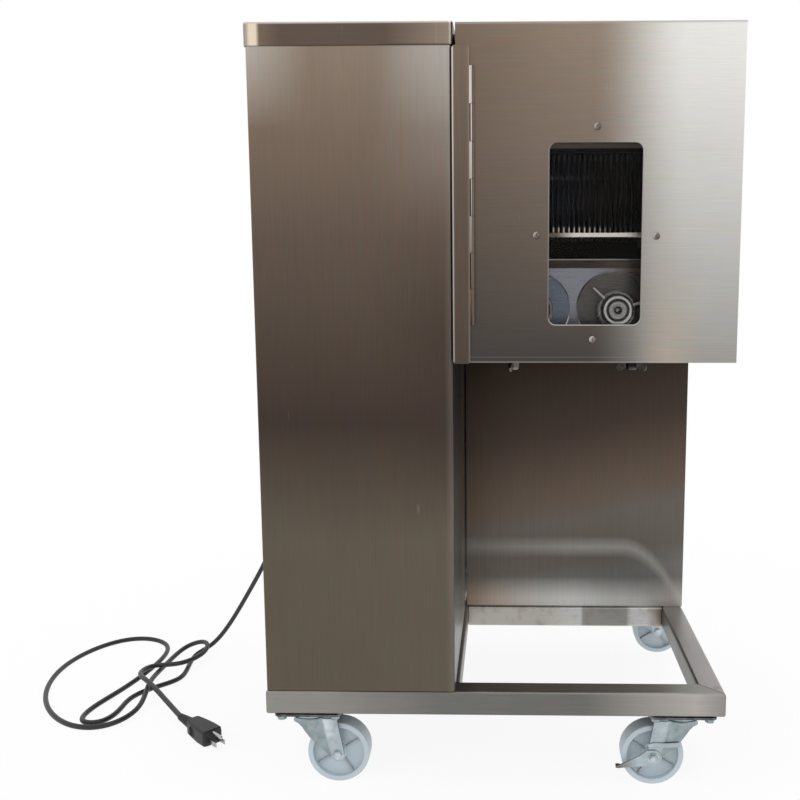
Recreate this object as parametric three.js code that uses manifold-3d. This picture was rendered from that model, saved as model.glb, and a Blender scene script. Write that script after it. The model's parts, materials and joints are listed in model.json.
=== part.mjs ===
// Electric strip slicer: a stainless drive cabinet and a double-cut blade chamber on a caster frame.
// Millimetres, +Z up, +Y away from the front. The origin is on the floor under the machine's middle.
import * as THREE from 'three';
import { NURBSCurve } from 'three/addons/curves/NURBSCurve.js';
import { mergeVertices } from 'three/addons/utils/BufferGeometryUtils.js';
import Module from 'manifold-3d';

const wasm = await Module();
wasm.setup();

// Clearances and stock
const seat = 0.3;
const runFit = 0.3;
const swingGap = 0.4;
const sheet = 1.5;

// Frame of square tube on four casters
const frameWidth = 550;
const frameDepth = 470;
const tubeSize = 30;
const tubeWall = 2;
const tubeCorner = 3;
const railShow = 4.5;
const casterHeight = 95;
const wheelRadius = 38;
const wheelWidth = 26;
const casterTrail = 34;
const casterInset = 19;

// Drive cabinet and its lid
const bodyHeight = 768;
const cabinetInset = 1;
const cabinetWidth = 226.5;
const sheetCorner = 4;
const lidDepth = 25;

// Door, hinge strip and window
const doorGap = 4.3;
const doorRightInset = 1.5;
const doorHeight = 372;
const doorTopDrop = 1;
const doorFold = 12;
const hingeLine = 23;
const hingeProud = 2.75;
const windowWidth = 103;
const windowHeight = 200.2;
const windowLeft = 103.7;
const windowBottom = 43.5;
const windowCorner = 8.5;
const paneMargin = 28.5;
const paneThick = 4;

// Cutting chamber
const chamberDepth = 298.5;
const housingDrop = 3;
const railBelowAxis = 51;
const chuteOffset = 112;

// Blade rollers, alike in both sets but for their pitch
const shaftRadius = 10;
const discRadius = 50;
const discThick = 2;
const spacerRadius = 22;
const rollerSpacing = 95;
const roundSides = 12;
const upperSides = 10;
const upperPitch = 6;
const upperCount = 26;
const lowerSides = 10;
const lowerPitch = 14;
const lowerCount = 12;
const upperAxisDrop = 179;
const axisDrop = 135;
const frontRollerDepth = 102.5;
const lowerLeftX = 45;
const endPlate = 6;
const gearTeeth = 15;
const gearWidth = 20;

// Drive
const motorRadius = 80;
const motorLength = 220;
const motorX = -160;
const motorZ = 250;
const jackX = -150;
const drivePulleyRadius = 80;
const motorPulleyRadius = 32;
const crossPulleyRadius = 45;
const beltThick = 4;
const pulleyLip = 4;
const beltSeat = 0.9;

// Mains lead
const cordRadius = 3.6;
const cordSides = 6;
const cordSteps = 78;

// Planes worked out from the sizes above
const front = -frameDepth / 2;
const rear = frameDepth / 2;
const frameTop = casterHeight + tubeSize;
const bodyBottom = frameTop + seat;
const lidTop = frameTop + bodyHeight;
const upperAxisZ = lidTop - upperAxisDrop;
const lowerAxisZ = upperAxisZ - axisDrop;
const lidBottom = lidTop - lidDepth;
const shellTop = lidTop - sheet - seat;
const cabinetLeft = -frameWidth / 2 + cabinetInset;
const cabinetRight = cabinetLeft + cabinetWidth;
const lidReach = seat + sheet;
const housingTop = lidTop - housingDrop;
const panelFront = front + chamberDepth;
const panelBack = panelFront + sheet;
const housingLeft = cabinetRight + lidReach + seat;
const housingRight = frameWidth / 2;
const doorLeft = cabinetRight + doorGap;
const doorRight = frameWidth / 2 - doorRightInset;
const doorTop = lidTop - doorTopDrop;
const doorBottom = doorTop - doorHeight;
const hingeX = cabinetRight + hingeLine;
const hingeY = front - hingeProud;
const chamberRight = doorRight - sheet - seat;
const railTop = lowerAxisZ - railBelowAxis;
const railThick = 6;
const axisY = front + frontRollerDepth;
const rearAxisY = axisY + rollerSpacing;
const lowerRightX = lowerLeftX + rollerSpacing;

// Materials
const finish = (color, roughness, metalness) => new THREE.MeshStandardMaterial({ color, roughness, metalness });
const stainless = finish(0x8f867b, 0.38, 0.9);
const brightSteel = finish(0xc6c8ca, 0.3, 0.95);
const plainSteel = finish(0x9a9c9e, 0.5, 0.8);
const castGrey = finish(0x6d7276, 0.6, 0.5);
const greyRubber = finish(0x4a4d50, 0.8, 0);
const blackRubber = finish(0x1d1f22, 0.7, 0);
const clearPane = new THREE.MeshStandardMaterial({ color: 0xcfd8d8, roughness: 0.1, transparent: true, opacity: 0.3 });
const greenPlastic = finish(0x1f8a3b, 0.4, 0);
const redPlastic = finish(0xb3201c, 0.4, 0);

// A closed geometry as a solid: shared corners merged, flat triangles dropped, faces pointing out
function toSolid(geometry) {
  geometry.deleteAttribute('normal');
  geometry.deleteAttribute('uv');
  const merged = mergeVertices(geometry, 1e-4);
  const points = merged.attributes.position.array;
  const index = merged.index.array;
  const triangles = [];
  const corner = (i) => new THREE.Vector3().fromArray(points, 3 * i);
  let volume = 0;
  for (let i = 0; i < index.length; i += 3) {
    const [a, b, c] = index.slice(i, i + 3);
    if (a === b || b === c || c === a) continue;
    triangles.push(a, b, c);
    volume += corner(a).dot(corner(b).cross(corner(c)));
  }
  if (volume < 0) triangles.reverse();
  const vertProperties = Float32Array.from(points);
  const triVerts = Uint32Array.from(triangles);
  return new wasm.Manifold(new wasm.Mesh({ numProp: 3, vertProperties, triVerts }));
}

function toGeometry(solid) {
  const mesh = solid.getMesh();
  const geometry = new THREE.BufferGeometry();
  geometry.setAttribute('position', new THREE.BufferAttribute(new Float32Array(mesh.vertProperties), 3));
  geometry.setIndex(new THREE.BufferAttribute(new Uint32Array(mesh.triVerts), 1));
  geometry.computeVertexNormals();
  return geometry;
}

const join = (...solids) => solids.reduce((sum, solid) => sum.add(solid));
const cut = (solid, ...tools) => tools.reduce((left, tool) => left.subtract(tool), solid);

// Turns local (across, up, along) into the part's axes, for a form that runs along x, y or z
function alongAxis(geometry, axis) {
  const turn = new THREE.Matrix4();
  if (axis === 'x') turn.set(0, 0, 1, 0, 1, 0, 0, 0, 0, 1, 0, 0, 0, 0, 0, 1);
  if (axis === 'y') turn.set(1, 0, 0, 0, 0, 0, 1, 0, 0, 1, 0, 0, 0, 0, 0, 1);
  return geometry.applyMatrix4(turn);
}

// A flat outline swept straight from one plane to another
function prism(axis, outline, from, to, holes = []) {
  const shape = new THREE.Shape(outline);
  shape.holes = holes.map((hole) => new THREE.Path(hole));
  const geometry = new THREE.ExtrudeGeometry(shape, { depth: to - from, bevelEnabled: false });
  geometry.translate(0, 0, from);
  return toSolid(alongAxis(geometry, axis));
}

// A profile of [radius, place along the axis] turned round that axis
function revolve(axis, profile, centre = [0, 0], sides = roundSides) {
  const points = profile.map(([r, along]) => new THREE.Vector2(r, along));
  const geometry = new THREE.LatheGeometry(points, sides);
  geometry.rotateX(Math.PI / 2);
  alongAxis(geometry, axis);
  const [u, v] = centre;
  if (axis === 'x') geometry.translate(0, u, v);
  if (axis === 'y') geometry.translate(u, 0, v);
  if (axis === 'z') geometry.translate(u, v, 0);
  return toSolid(geometry);
}

function rod(axis, radius, from, to, centre = [0, 0], sides = roundSides) {
  return revolve(axis, [[0, from], [radius, from], [radius, to], [0, to]], centre, sides);
}

// A round hole whose flats, and not only its corners, clear the radius
function bore(axis, radius, from, to, centre = [0, 0], sides = roundSides) {
  return rod(axis, radius / Math.cos(Math.PI / sides), from, to, centre, sides);
}

function box(x0, x1, y0, y1, z0, z1) {
  const geometry = new THREE.BoxGeometry(x1 - x0, y1 - y0, z1 - z0);
  geometry.translate((x0 + x1) / 2, (y0 + y1) / 2, (z0 + z1) / 2);
  return toSolid(geometry);
}

function arcPoints(u, v, radius, from, to, steps) {
  const points = [];
  for (let i = 0; i <= steps; i += 1) {
    const angle = from + (to - from) * i / steps;
    points.push(new THREE.Vector2(u + radius * Math.cos(angle), v + radius * Math.sin(angle)));
  }
  return points;
}

function roundedRect(u0, u1, v0, v1, radius, steps = 3) {
  const quarter = Math.PI / 2;
  return [
    ...arcPoints(u1 - radius, v1 - radius, radius, 0, quarter, steps),
    ...arcPoints(u0 + radius, v1 - radius, radius, quarter, 2 * quarter, steps),
    ...arcPoints(u0 + radius, v0 + radius, radius, 2 * quarter, 3 * quarter, steps),
    ...arcPoints(u1 - radius, v0 + radius, radius, 3 * quarter, 4 * quarter, steps),
  ];
}

const outlineOf = (...pairs) => pairs.map(([u, v]) => new THREE.Vector2(u, v));

const part = new THREE.Group();

function addPiece(name, solid, material, parent = part) {
  const mesh = new THREE.Mesh(toGeometry(solid), material);
  mesh.name = name;
  parent.add(mesh);
  return mesh;
}

// Frame: four mitred rails, and two more under the cabinet's side and the drive housing's panel
function squareTube(from, to) {
  const half = tubeSize / 2;
  return prism('x', roundedRect(-half, half, -half, half, tubeCorner, 2), from, to);
}

function tubeHollow(from, to) {
  const half = tubeSize / 2 - tubeWall;
  return box(from, to, -half, half, -half, half);
}

function mitredRail(length) {
  const half = tubeSize / 2;
  const reach = length / 2 - seat / Math.SQRT2;
  const plan = outlineOf([-reach, -half], [reach, -half], [reach - tubeSize, half], [tubeSize - reach, half]);
  const mitres = prism('z', plan, -half, half);
  return cut(squareTube(-reach, reach).intersect(mitres), tubeHollow(-length, length));
}

function straightRail(length) {
  const reach = length / 2;
  return cut(squareTube(-reach, reach), tubeHollow(-length, length));
}

function addFrame() {
  const middle = casterHeight + tubeSize / 2;
  const sideX = frameWidth / 2 - tubeSize / 2;
  const endY = frameDepth / 2 - tubeSize / 2;
  const places = [
    ['front_rail', frameWidth, 0, -endY, 0],
    ['rear_rail', frameWidth, 0, endY, Math.PI],
    ['left_rail', frameDepth, -sideX, 0, -Math.PI / 2],
    ['right_rail', frameDepth, sideX, 0, Math.PI / 2],
  ];
  for (const [name, length, x, y, turn] of places) {
    const rail = addPiece(name, mitredRail(length), brightSteel);
    rail.position.set(x, y, middle);
    rail.rotation.z = turn;
  }
  const midX = cabinetRight + railShow - tubeSize / 2;
  const midRail = addPiece('mid_rail', straightRail(frameDepth - 2 * tubeSize - 2 * seat), brightSteel);
  midRail.position.set(midX, 0, middle);
  midRail.rotation.z = Math.PI / 2;
  const crossFrom = midX + tubeSize / 2 + seat;
  const crossTo = sideX - tubeSize / 2 - seat;
  const crossRail = addPiece('cross_rail', straightRail(crossTo - crossFrom), brightSteel);
  crossRail.position.set((crossFrom + crossTo) / 2, panelFront - railShow + tubeSize / 2, middle);
}

// Swivel casters, modelled round their kingpin with the wheel trailing along +X
const casterPlateLength = 80;
const casterPlateWidth = 60;
const casterSheet = 3;
const raceRadius = 26;
const raceDepth = 5;
const kingpinRadius = 5;
const kingpinHeadRadius = 8;
const crownRadius = 25;
const forkGauge = 2.5;
const forkInner = 15.5;
const axleRadius = 4;
const axleBoss = 9;
const wheelSides = 14;
const boltSides = 8;
const pedalGauge = 2.5;
const pedalReach = 52;
const tabWidth = 13;
const tabDrop = 9;
const plateTopZ = casterHeight - seat;
const raceBottomZ = plateTopZ - casterSheet - raceDepth;
const crownTopZ = raceBottomZ - seat;
const crownBottomZ = crownTopZ - casterSheet;
const pinHeadZ = crownBottomZ - seat;
const forkOuter = forkInner + forkGauge;
const pedalInner = forkOuter + seat;

function casterPlateSolid() {
  const halfLength = casterPlateLength / 2;
  const halfWidth = casterPlateWidth / 2;
  const plate = prism('z', roundedRect(-halfLength, halfLength, -halfWidth, halfWidth, 6, 1),
    plateTopZ - casterSheet, plateTopZ);
  const raceAndPin = revolve('z', [
    [0, pinHeadZ - 4], [kingpinHeadRadius, pinHeadZ - 4], [kingpinHeadRadius, pinHeadZ],
    [kingpinRadius, pinHeadZ], [kingpinRadius, raceBottomZ], [raceRadius - 2, raceBottomZ],
    [raceRadius, plateTopZ - 1], [0, plateTopZ - 1],
  ], [0, 0], 10);
  return join(plate, raceAndPin);
}

function forkSolid(braked) {
  const crown = revolve('z', [
    [0, crownBottomZ], [crownRadius - 3, crownBottomZ], [crownRadius, crownTopZ], [0, crownTopZ],
  ], [0, 0], 10);
  const boss = arcPoints(casterTrail, wheelRadius, axleBoss, Math.PI / 7, -6 * Math.PI / 7, 5);
  const leg = [...outlineOf([-19, crownTopZ - 12], [-19, crownTopZ], [22, crownTopZ]), ...boss];
  const centre = [casterTrail, wheelRadius];
  const nutFrom = braked ? pedalInner + pedalGauge + seat : forkOuter;
  const nutTo = nutFrom + 4.5;
  const nut = (from, to) => rod('y', 7, from, to, centre, 6);
  const pin = bore('z', kingpinRadius + runFit, crownBottomZ - 1, crownTopZ + 1, [0, 0], boltSides);
  return cut(join(
    crown,
    prism('y', leg, forkInner, forkOuter),
    prism('y', leg, -forkOuter, -forkInner),
    rod('y', axleRadius, -nutTo, nutTo, centre, boltSides),
    nut(nutFrom, nutTo),
    nut(-nutTo, -nutFrom),
  ), pin);
}

function wheelSolid() {
  const tyre = wheelWidth / 2;
  const hub = forkInner - seat;
  const inner = (axleRadius + runFit) / Math.cos(Math.PI / wheelSides);
  return revolve('y', [
    [inner, -hub], [9, -hub], [26, 5 - tyre], [28, -tyre], [wheelRadius - 1, -tyre],
    [wheelRadius, 0], [wheelRadius - 1, tyre], [28, tyre],
    [26, tyre - 5], [9, hub], [inner, hub], [inner, -hub],
  ], [0, 0], wheelSides);
}

function pedalSolid() {
  const outer = pedalInner + pedalGauge;
  const tip = casterTrail + pedalReach;
  const tabTop = wheelRadius - tabDrop + 2;
  const tabBottom = tabTop - 4;
  const arm = [
    ...outlineOf([tip, tabTop], [tip, tabBottom], [tip - tabWidth, tabBottom]),
    ...arcPoints(casterTrail, wheelRadius, axleBoss, -Math.PI / 2.6, -5 * Math.PI / 3, 6),
  ];
  return cut(join(
    prism('y', arm, pedalInner, outer),
    prism('y', arm, -outer, -pedalInner),
    box(tip - tabWidth, tip, -outer, outer, tabBottom, tabTop),
  ), bore('y', axleRadius + runFit, -outer - 1, outer + 1, [casterTrail, wheelRadius], boltSides));
}

function addCasters() {
  const cornerX = frameWidth / 2 - tubeSize - casterInset;
  const cornerY = frameDepth / 2 - casterPlateWidth / 2;
  const corners = [
    ['front_left', -cornerX, -cornerY, 0, false],
    ['front_right', cornerX, -cornerY, Math.PI, true],
    ['rear_left', -cornerX, cornerY, Math.PI, false],
    ['rear_right', cornerX, cornerY, 0, false],
  ];
  for (const [corner, x, y, turn, braked] of corners) {
    const caster = new THREE.Group();
    caster.position.set(x, y, 0);
    caster.rotation.z = turn;
    part.add(caster);
    addPiece(`${corner}_caster_plate`, casterPlateSolid(), brightSteel, caster);
    addPiece(`${corner}_caster_fork`, forkSolid(braked), brightSteel, caster);
    const wheel = addPiece(`${corner}_wheel`, wheelSolid(), greyRubber, caster);
    wheel.position.set(casterTrail, 0, wheelRadius);
    if (braked) addPiece(`${corner}_brake_pedal`, pedalSolid(), brightSteel, caster);
  }
}

// Drive cabinet: a folded shell open at the back, its floor, vented back panel and lid
const windowSlotHeight = 250;
const buttonHoleRadius = 8;
const buttonDepth = 120;
const buttonSpread = 20;
const buttonRise = 46;
const buttonZ = upperAxisZ + buttonRise;
const glandFromRear = 40;
const glandDepth = frameDepth - glandFromRear;
const glandZ = 215;
const glandShank = 8;
const motorDeckThick = 3;
const beltSlotMargin = 30;
const drivePlateFromRear = 50;
const drivePlateDepth = frameDepth - drivePlateFromRear;

function addCabinet() {
  const wallEnd = rear - sheet - seat;
  const inLeft = cabinetLeft + sheet;
  const inRight = cabinetRight - sheet;
  const quarter = Math.PI / 2;
  const outer = sheetCorner;
  const inner = sheetCorner - sheet;
  const plan = [
    ...outlineOf([cabinetLeft, wallEnd]),
    ...arcPoints(cabinetLeft + outer, front + outer, outer, 2 * quarter, 3 * quarter, 3),
    ...arcPoints(cabinetRight - outer, front + outer, outer, 3 * quarter, 4 * quarter, 3),
    ...outlineOf([cabinetRight, wallEnd], [inRight, wallEnd]),
    ...arcPoints(inRight - inner, front + sheet + inner, inner, 4 * quarter, 3 * quarter, 2),
    ...arcPoints(inLeft + inner, front + sheet + inner, inner, 3 * quarter, 2 * quarter, 2),
    ...outlineOf([inLeft, wallEnd]),
  ];
  const walls = prism('z', plan, bodyBottom, shellTop);
  const throughRight = (centre) => bore('x', shaftRadius + 2.5, inRight - 1, cabinetRight + 1, centre);
  const throughLeft = (radius, centre) => bore('x', radius, cabinetLeft - 1, inLeft + 1, centre);
  const slotMiddle = (upperAxisZ + lowerAxisZ) / 2;
  const shell = cut(
    walls,
    throughRight([axisY, upperAxisZ]),
    throughRight([rearAxisY, upperAxisZ]),
    box(inRight - 1, cabinetRight + 1, front + crossBeltDepth - beltSlotMargin, front + drivePlateDepth + 20,
      slotMiddle - windowSlotHeight / 2, slotMiddle + windowSlotHeight / 2),
    throughLeft(buttonHoleRadius + runFit, [front + buttonDepth - buttonSpread, buttonZ]),
    throughLeft(buttonHoleRadius + runFit, [front + buttonDepth + buttonSpread, buttonZ]),
    throughLeft(glandShank + runFit, [front + glandDepth, glandZ]),
  );
  addPiece('cabinet_shell', shell, stainless);
  addPiece('cabinet_floor', prism('z', roundedRect(inLeft + seat, inRight - seat, front + sheet + seat, wallEnd,
    sheetCorner, 2), bodyBottom, bodyBottom + motorDeckThick), plainSteel);
  addPiece('cabinet_back', backPanelSolid(), stainless);
  addPiece('cabinet_lid', lidSolid(), stainless);
}

function backPanelSolid() {
  const slotWidth = 120;
  const slotHeight = 6;
  const slotPitch = 16;
  const slotCount = 8;
  const middle = (cabinetLeft + cabinetRight) / 2;
  const slots = [];
  for (let i = 0; i < slotCount; i += 1) {
    const z = bodyBottom + 90 + i * slotPitch;
    slots.push(box(middle - slotWidth / 2, middle + slotWidth / 2, rear - sheet - 1, rear + 1, z, z + slotHeight));
  }
  return cut(box(cabinetLeft, cabinetRight, rear - sheet, rear, bodyBottom, shellTop), ...slots);
}

function lidSolid() {
  const block = (grow, from, to) => join(
    prism('z', roundedRect(cabinetLeft - grow, cabinetRight + grow, front - grow, 0, sheetCorner + grow), from, to),
    box(cabinetLeft - grow, cabinetRight + grow, -20, rear + grow, from, to),
  );
  return cut(block(lidReach, lidBottom, lidTop), block(seat, lidBottom - 1, lidTop - sheet));
}

// Drive housing behind the chamber: a front panel and one folded cover
function addHousing() {
  const hole = (x) => bore('y', shaftRadius + 2.5, panelFront - 1, panelBack + 1, [x, lowerAxisZ]);
  const panel = box(housingLeft, housingRight, panelFront, panelBack, bodyBottom, housingTop);
  addPiece('housing_panel', cut(panel, hole(lowerLeftX), hole(lowerRightX)), stainless);
  const cover = cut(
    box(housingLeft, housingRight, panelBack + seat, rear, bodyBottom, housingTop),
    box(housingLeft - 1, housingRight - sheet, panelBack, rear - sheet, bodyBottom - 1, housingTop - sheet),
  );
  addPiece('housing_cover', cover, stainless);
}

// Chamber: right side sheet, the flat bar under the lower set, and the feed chute
const sideFlange = 12;
const railDepthFrom = 57;
const railDepthTo = 77;
const wingDepth = 64;
const wingInset = 23;
const wingScrewRadius = 4;
const chuteLength = 180;
const chuteWidth = 100;
const chuteOutletLength = 164;
const chuteOutletWidth = 80;
const chuteDrop = 109;
const chuteFlangeDrop = 7.5;

function addChamber() {
  const side = join(
    box(chamberRight - sheet, chamberRight, front + 3, panelFront - seat, railTop + seat, housingTop),
    box(chamberRight - sideFlange, chamberRight, panelFront - seat - sheet, panelFront - seat,
      railTop + seat, housingTop),
  );
  addPiece('chamber_side', side, stainless);
  const screwHole = (x) => bore('z', wingScrewRadius + runFit, railTop - railThick - 1, railTop + 1,
    [x, front + wingDepth], boltSides);
  const bar = box(cabinetRight + seat, chamberRight, front + railDepthFrom, front + railDepthTo,
    railTop - railThick, railTop);
  addPiece('support_rail', cut(bar, screwHole(lowerLeftX - wingInset), screwHole(lowerRightX + wingInset)),
    brightSteel);
  addPiece('feed_chute', chuteSolid(), stainless);
}

// A four-sided funnel block between two rectangles, extended past both ends by the same slopes
function funnelBlock(x, y, length, width, outletLength, outletWidth, zTop, zBottom, extend) {
  const slope = (z, top, bottom) => bottom + (top - bottom) * (z - zBottom) / (zTop - zBottom);
  const corners = [];
  for (const z of [zBottom - extend, zTop + extend]) {
    const halfX = slope(z, length, outletLength) / 2;
    const halfY = slope(z, width, outletWidth) / 2;
    corners.push(x - halfX, y - halfY, z, x + halfX, y - halfY, z, x + halfX, y + halfY, z, x - halfX, y + halfY, z);
  }
  const geometry = new THREE.BufferGeometry();
  geometry.setAttribute('position', new THREE.Float32BufferAttribute(corners, 3));
  const index = [0, 2, 1, 0, 3, 2, 4, 5, 6, 4, 6, 7];
  for (let i = 0; i < 4; i += 1) {
    const next = (i + 1) % 4;
    index.push(i, next, next + 4, i, next + 4, i + 4);
  }
  geometry.setIndex(index);
  return toSolid(geometry);
}

function chuteSolid() {
  const top = housingTop - chuteFlangeDrop + sheet;
  const bottom = top - chuteDrop;
  const y = axisY + rollerSpacing / 2;
  const funnel = (grow, extend) => funnelBlock(chuteOffset, y, chuteLength + grow, chuteWidth + grow,
    chuteOutletLength + grow, chuteOutletWidth + grow, top, bottom, extend);
  const flange = box(housingLeft, chamberRight - sheet - seat, front + 20, panelFront - sheet - 2 * seat,
    top - sheet, top);
  return cut(join(flange, funnel(2 * sheet, 0)), funnel(0, 1));
}

// Door with its window opening, folded edges and hinge knuckles; the hinge strip; the window pane
const stripReach = 20;
const stripReturn = 28.5;
const stripOverlap = 1;
const stripTop = lidBottom - stripOverlap / 2;
const stripBottom = doorBottom - stripOverlap;
const stripFront = 3.5;
const barrelRadius = 2.3;
const hingePinRadius = 1;
const barrelInset = 43;
const barrelBottom = doorBottom + barrelInset;
const barrelLength = 283;
const barrelTop = barrelBottom + barrelLength;
const knuckles = 7;
const foldStart = 12.5;

function knuckle(index, side) {
  const pitch = (barrelTop - barrelBottom) / knuckles;
  const from = barrelBottom + index * pitch + swingGap / 2;
  const to = from + pitch - swingGap;
  const barrel = rod('z', barrelRadius, from, to, [hingeX, hingeY], 8);
  const web = side === 'door'
    ? box(hingeX - 1, hingeX + 1, hingeY, front + sheet / 2, from, to)
    : box(cabinetRight + stripReach - 1, hingeX, front - stripFront, front - stripFront + sheet, from, to);
  return join(barrel, web);
}

function addDoor() {
  const windowX = doorLeft + windowLeft;
  const windowZ = doorBottom + windowBottom;
  const opening = roundedRect(windowX, windowX + windowWidth, windowZ, windowZ + windowHeight, windowCorner);
  const face = outlineOf([doorLeft, doorBottom], [doorRight, doorBottom], [doorRight, doorTop], [doorLeft, doorTop]);
  const foldEnd = front + sheet + doorFold;
  const foldLeft = hingeX + foldStart;
  const pieces = [
    prism('y', face, front, front + sheet, [opening]),
    box(doorRight - sheet, doorRight, front, foldEnd, doorBottom, doorTop),
    box(foldLeft, doorRight, front, foldEnd, doorTop - sheet, doorTop),
    box(foldLeft, doorRight, front, foldEnd, doorBottom, doorBottom + sheet),
  ];
  for (let i = 1; i < knuckles; i += 2) pieces.push(knuckle(i, 'door'));
  const pinHole = bore('z', hingePinRadius + runFit, barrelBottom - 1, barrelTop + 1, [hingeX, hingeY], 8);
  addPiece('door', cut(join(...pieces), pinHole), stainless);

  const strip = [
    prism('y', roundedRect(cabinetRight + seat, cabinetRight + stripReach, stripBottom, stripTop, sheetCorner),
      front - stripFront, front - stripFront + sheet),
    box(cabinetRight + seat, cabinetRight + seat + sheet, front - stripFront, front + stripReturn - stripFront,
      stripBottom + sheetCorner, stripTop - sheetCorner),
    rod('z', hingePinRadius, barrelBottom, barrelTop, [hingeX, hingeY], 8),
  ];
  for (let i = 0; i < knuckles; i += 2) strip.push(knuckle(i, 'strip'));
  addPiece('hinge_strip', join(...strip), brightSteel);

  const paneFront = front + sheet + seat;
  addPiece('window_pane', box(windowX - paneMargin, windowX + windowWidth + paneMargin, paneFront,
    paneFront + paneThick, windowZ - paneMargin, windowZ + windowHeight + paneMargin), clearPane);
}

// Blade rollers. Local x runs along the shaft; the gear's tooth points along local +y
function gearSolid(from, to) {
  const addendum = rollerSpacing / gearTeeth;
  const root = rollerSpacing / 2 - 1.25 * addendum;
  const tip = rollerSpacing / 2 + addendum;
  const halfRoot = 0.33 * 2 * Math.PI / gearTeeth;
  const halfTip = 0.1 * 2 * Math.PI / gearTeeth;
  const outline = [];
  for (let i = 0; i < gearTeeth; i += 1) {
    const centre = i * 2 * Math.PI / gearTeeth;
    for (const [radius, turn] of [[root, -halfRoot], [tip, -halfTip], [tip, halfTip], [root, halfRoot]]) {
      outline.push(new THREE.Vector2(radius * Math.cos(centre + turn), radius * Math.sin(centre + turn)));
    }
  }
  return prism('x', outline, from, to);
}

// Profile of the bevelled discs and their spacers, from one shoulder to the other
function discProfile(first, count, pitch, thick, shoulderFrom, shoulderTo) {
  const profile = [[shaftRadius, shoulderFrom], [spacerRadius, shoulderFrom]];
  for (let i = 0; i < count; i += 1) {
    const middle = first + i * pitch;
    if (i === 0 || thick < pitch) profile.push([spacerRadius, middle - thick / 2]);
    profile.push([discRadius, middle], [spacerRadius, middle + thick / 2]);
  }
  profile.push([spacerRadius, shoulderTo], [shaftRadius, shoulderTo]);
  return profile;
}

const setLeftX = 20;
const setLength = 184;
const shoulderGap = 2;
const upperFirstDisc = 35;
const collarRadius = 16;
const collarLength = 7;
const upperGearX = -85;
const gearboxRight = -100;
const shaftInBlock = 20;

function upperRoller(shaftFrom, firstDisc) {
  const leftIn = setLeftX + endPlate;
  const rightIn = setLeftX + setLength - endPlate;
  const rightOut = setLeftX + setLength;
  const profile = [
    [0, shaftFrom], [shaftRadius, shaftFrom],
    [shaftRadius, setLeftX - seat - collarLength], [collarRadius, setLeftX - seat - collarLength],
    [collarRadius, setLeftX - seat], [shaftRadius, setLeftX - seat],
    ...discProfile(firstDisc, upperCount, upperPitch, upperPitch, leftIn + shoulderGap, rightIn - shoulderGap),
    [shaftRadius, rightOut + seat], [collarRadius, rightOut + seat],
    [collarRadius, rightOut + seat + collarLength], [shaftRadius, rightOut + seat + collarLength],
    [shaftRadius, rightOut + 11], [0, rightOut + 11],
  ];
  return join(revolve('x', profile, [0, 0], upperSides), gearSolid(upperGearX, upperGearX + gearWidth));
}

// A comb of thin fingers between the discs, held by two bars. Local x along the roller, comb on local -y
const combOuter = 62.5;
const combBar = 10;
const combBarHeight = 5;
const upperReach = 34;
const upperFinger = 1.6;
const upperCombTop = 48;
const upperCombBottom = -52;
const lowerReach = 26;
const lowerFinger = 4;
const lowerCombHalf = 46;
const platesAboveAxis = 58;
const platesBelowAxis = 59;

function combSolid(from, to, first, count, pitch, finger, reach, top, bottom) {
  const barIn = -combOuter + combBar;
  const plan = outlineOf([from, barIn], [from, -combOuter], [to, -combOuter], [to, barIn]);
  for (let i = count - 1; i >= 0; i -= 1) {
    const middle = first + i * pitch;
    const near = middle - finger / 2;
    const far = middle + finger / 2;
    plan.push(...outlineOf([far, barIn], [far, -reach], [near, -reach], [near, barIn]));
  }
  return cut(
    prism('z', plan, bottom, top),
    box(from - 1, to + 1, -combOuter - 1, barIn, bottom + combBarHeight, top - combBarHeight),
  );
}

function addUpperSet() {
  const plateTop = upperAxisZ + platesAboveAxis;
  const plateBottom = upperAxisZ - platesBelowAxis;
  const frontEdge = axisY - combOuter;
  const chamfer = 8;
  const outline = outlineOf(
    [frontEdge + chamfer, plateBottom], [panelFront - seat, plateBottom], [panelFront - seat, plateTop],
    [frontEdge + chamfer, plateTop], [frontEdge, plateTop - chamfer], [frontEdge, plateBottom + chamfer],
  );
  const plate = (from) => cut(
    prism('x', outline, from, from + endPlate),
    bore('x', shaftRadius + runFit, from - 1, from + endPlate + 1, [axisY, upperAxisZ]),
    bore('x', shaftRadius + runFit, from - 1, from + endPlate + 1, [rearAxisY, upperAxisZ]),
  );
  addPiece('upper_left_plate', plate(setLeftX), brightSteel);
  addPiece('upper_right_plate', plate(setLeftX + setLength - endPlate), brightSteel);

  const frontRoller = addPiece('upper_front_roller', upperRoller(upperGearX - 7, upperFirstDisc), brightSteel);
  frontRoller.position.set(0, axisY, upperAxisZ);
  const rearRoller = addPiece('upper_rear_roller',
    upperRoller(gearboxRight - shaftInBlock, upperFirstDisc + upperPitch / 2), brightSteel);
  rearRoller.position.set(0, rearAxisY, upperAxisZ);

  const from = setLeftX + endPlate + seat;
  const to = setLeftX + setLength - endPlate - seat;
  const fingers = (firstDisc) => combSolid(from, to, firstDisc + upperPitch / 2, upperCount - 1, upperPitch,
    upperFinger, upperReach, upperCombTop, upperCombBottom);
  const frontComb = addPiece('upper_front_comb', fingers(upperFirstDisc), plainSteel);
  frontComb.position.set(0, axisY, upperAxisZ);
  const middle = from + to;
  const rearFirst = middle - (upperFirstDisc + upperPitch / 2 + (upperCount - 1) * upperPitch);
  const rearComb = addPiece('upper_rear_comb', fingers(rearFirst), plainSteel);
  rearComb.position.set(middle, rearAxisY, upperAxisZ);
  rearComb.rotation.z = Math.PI;
}

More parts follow.
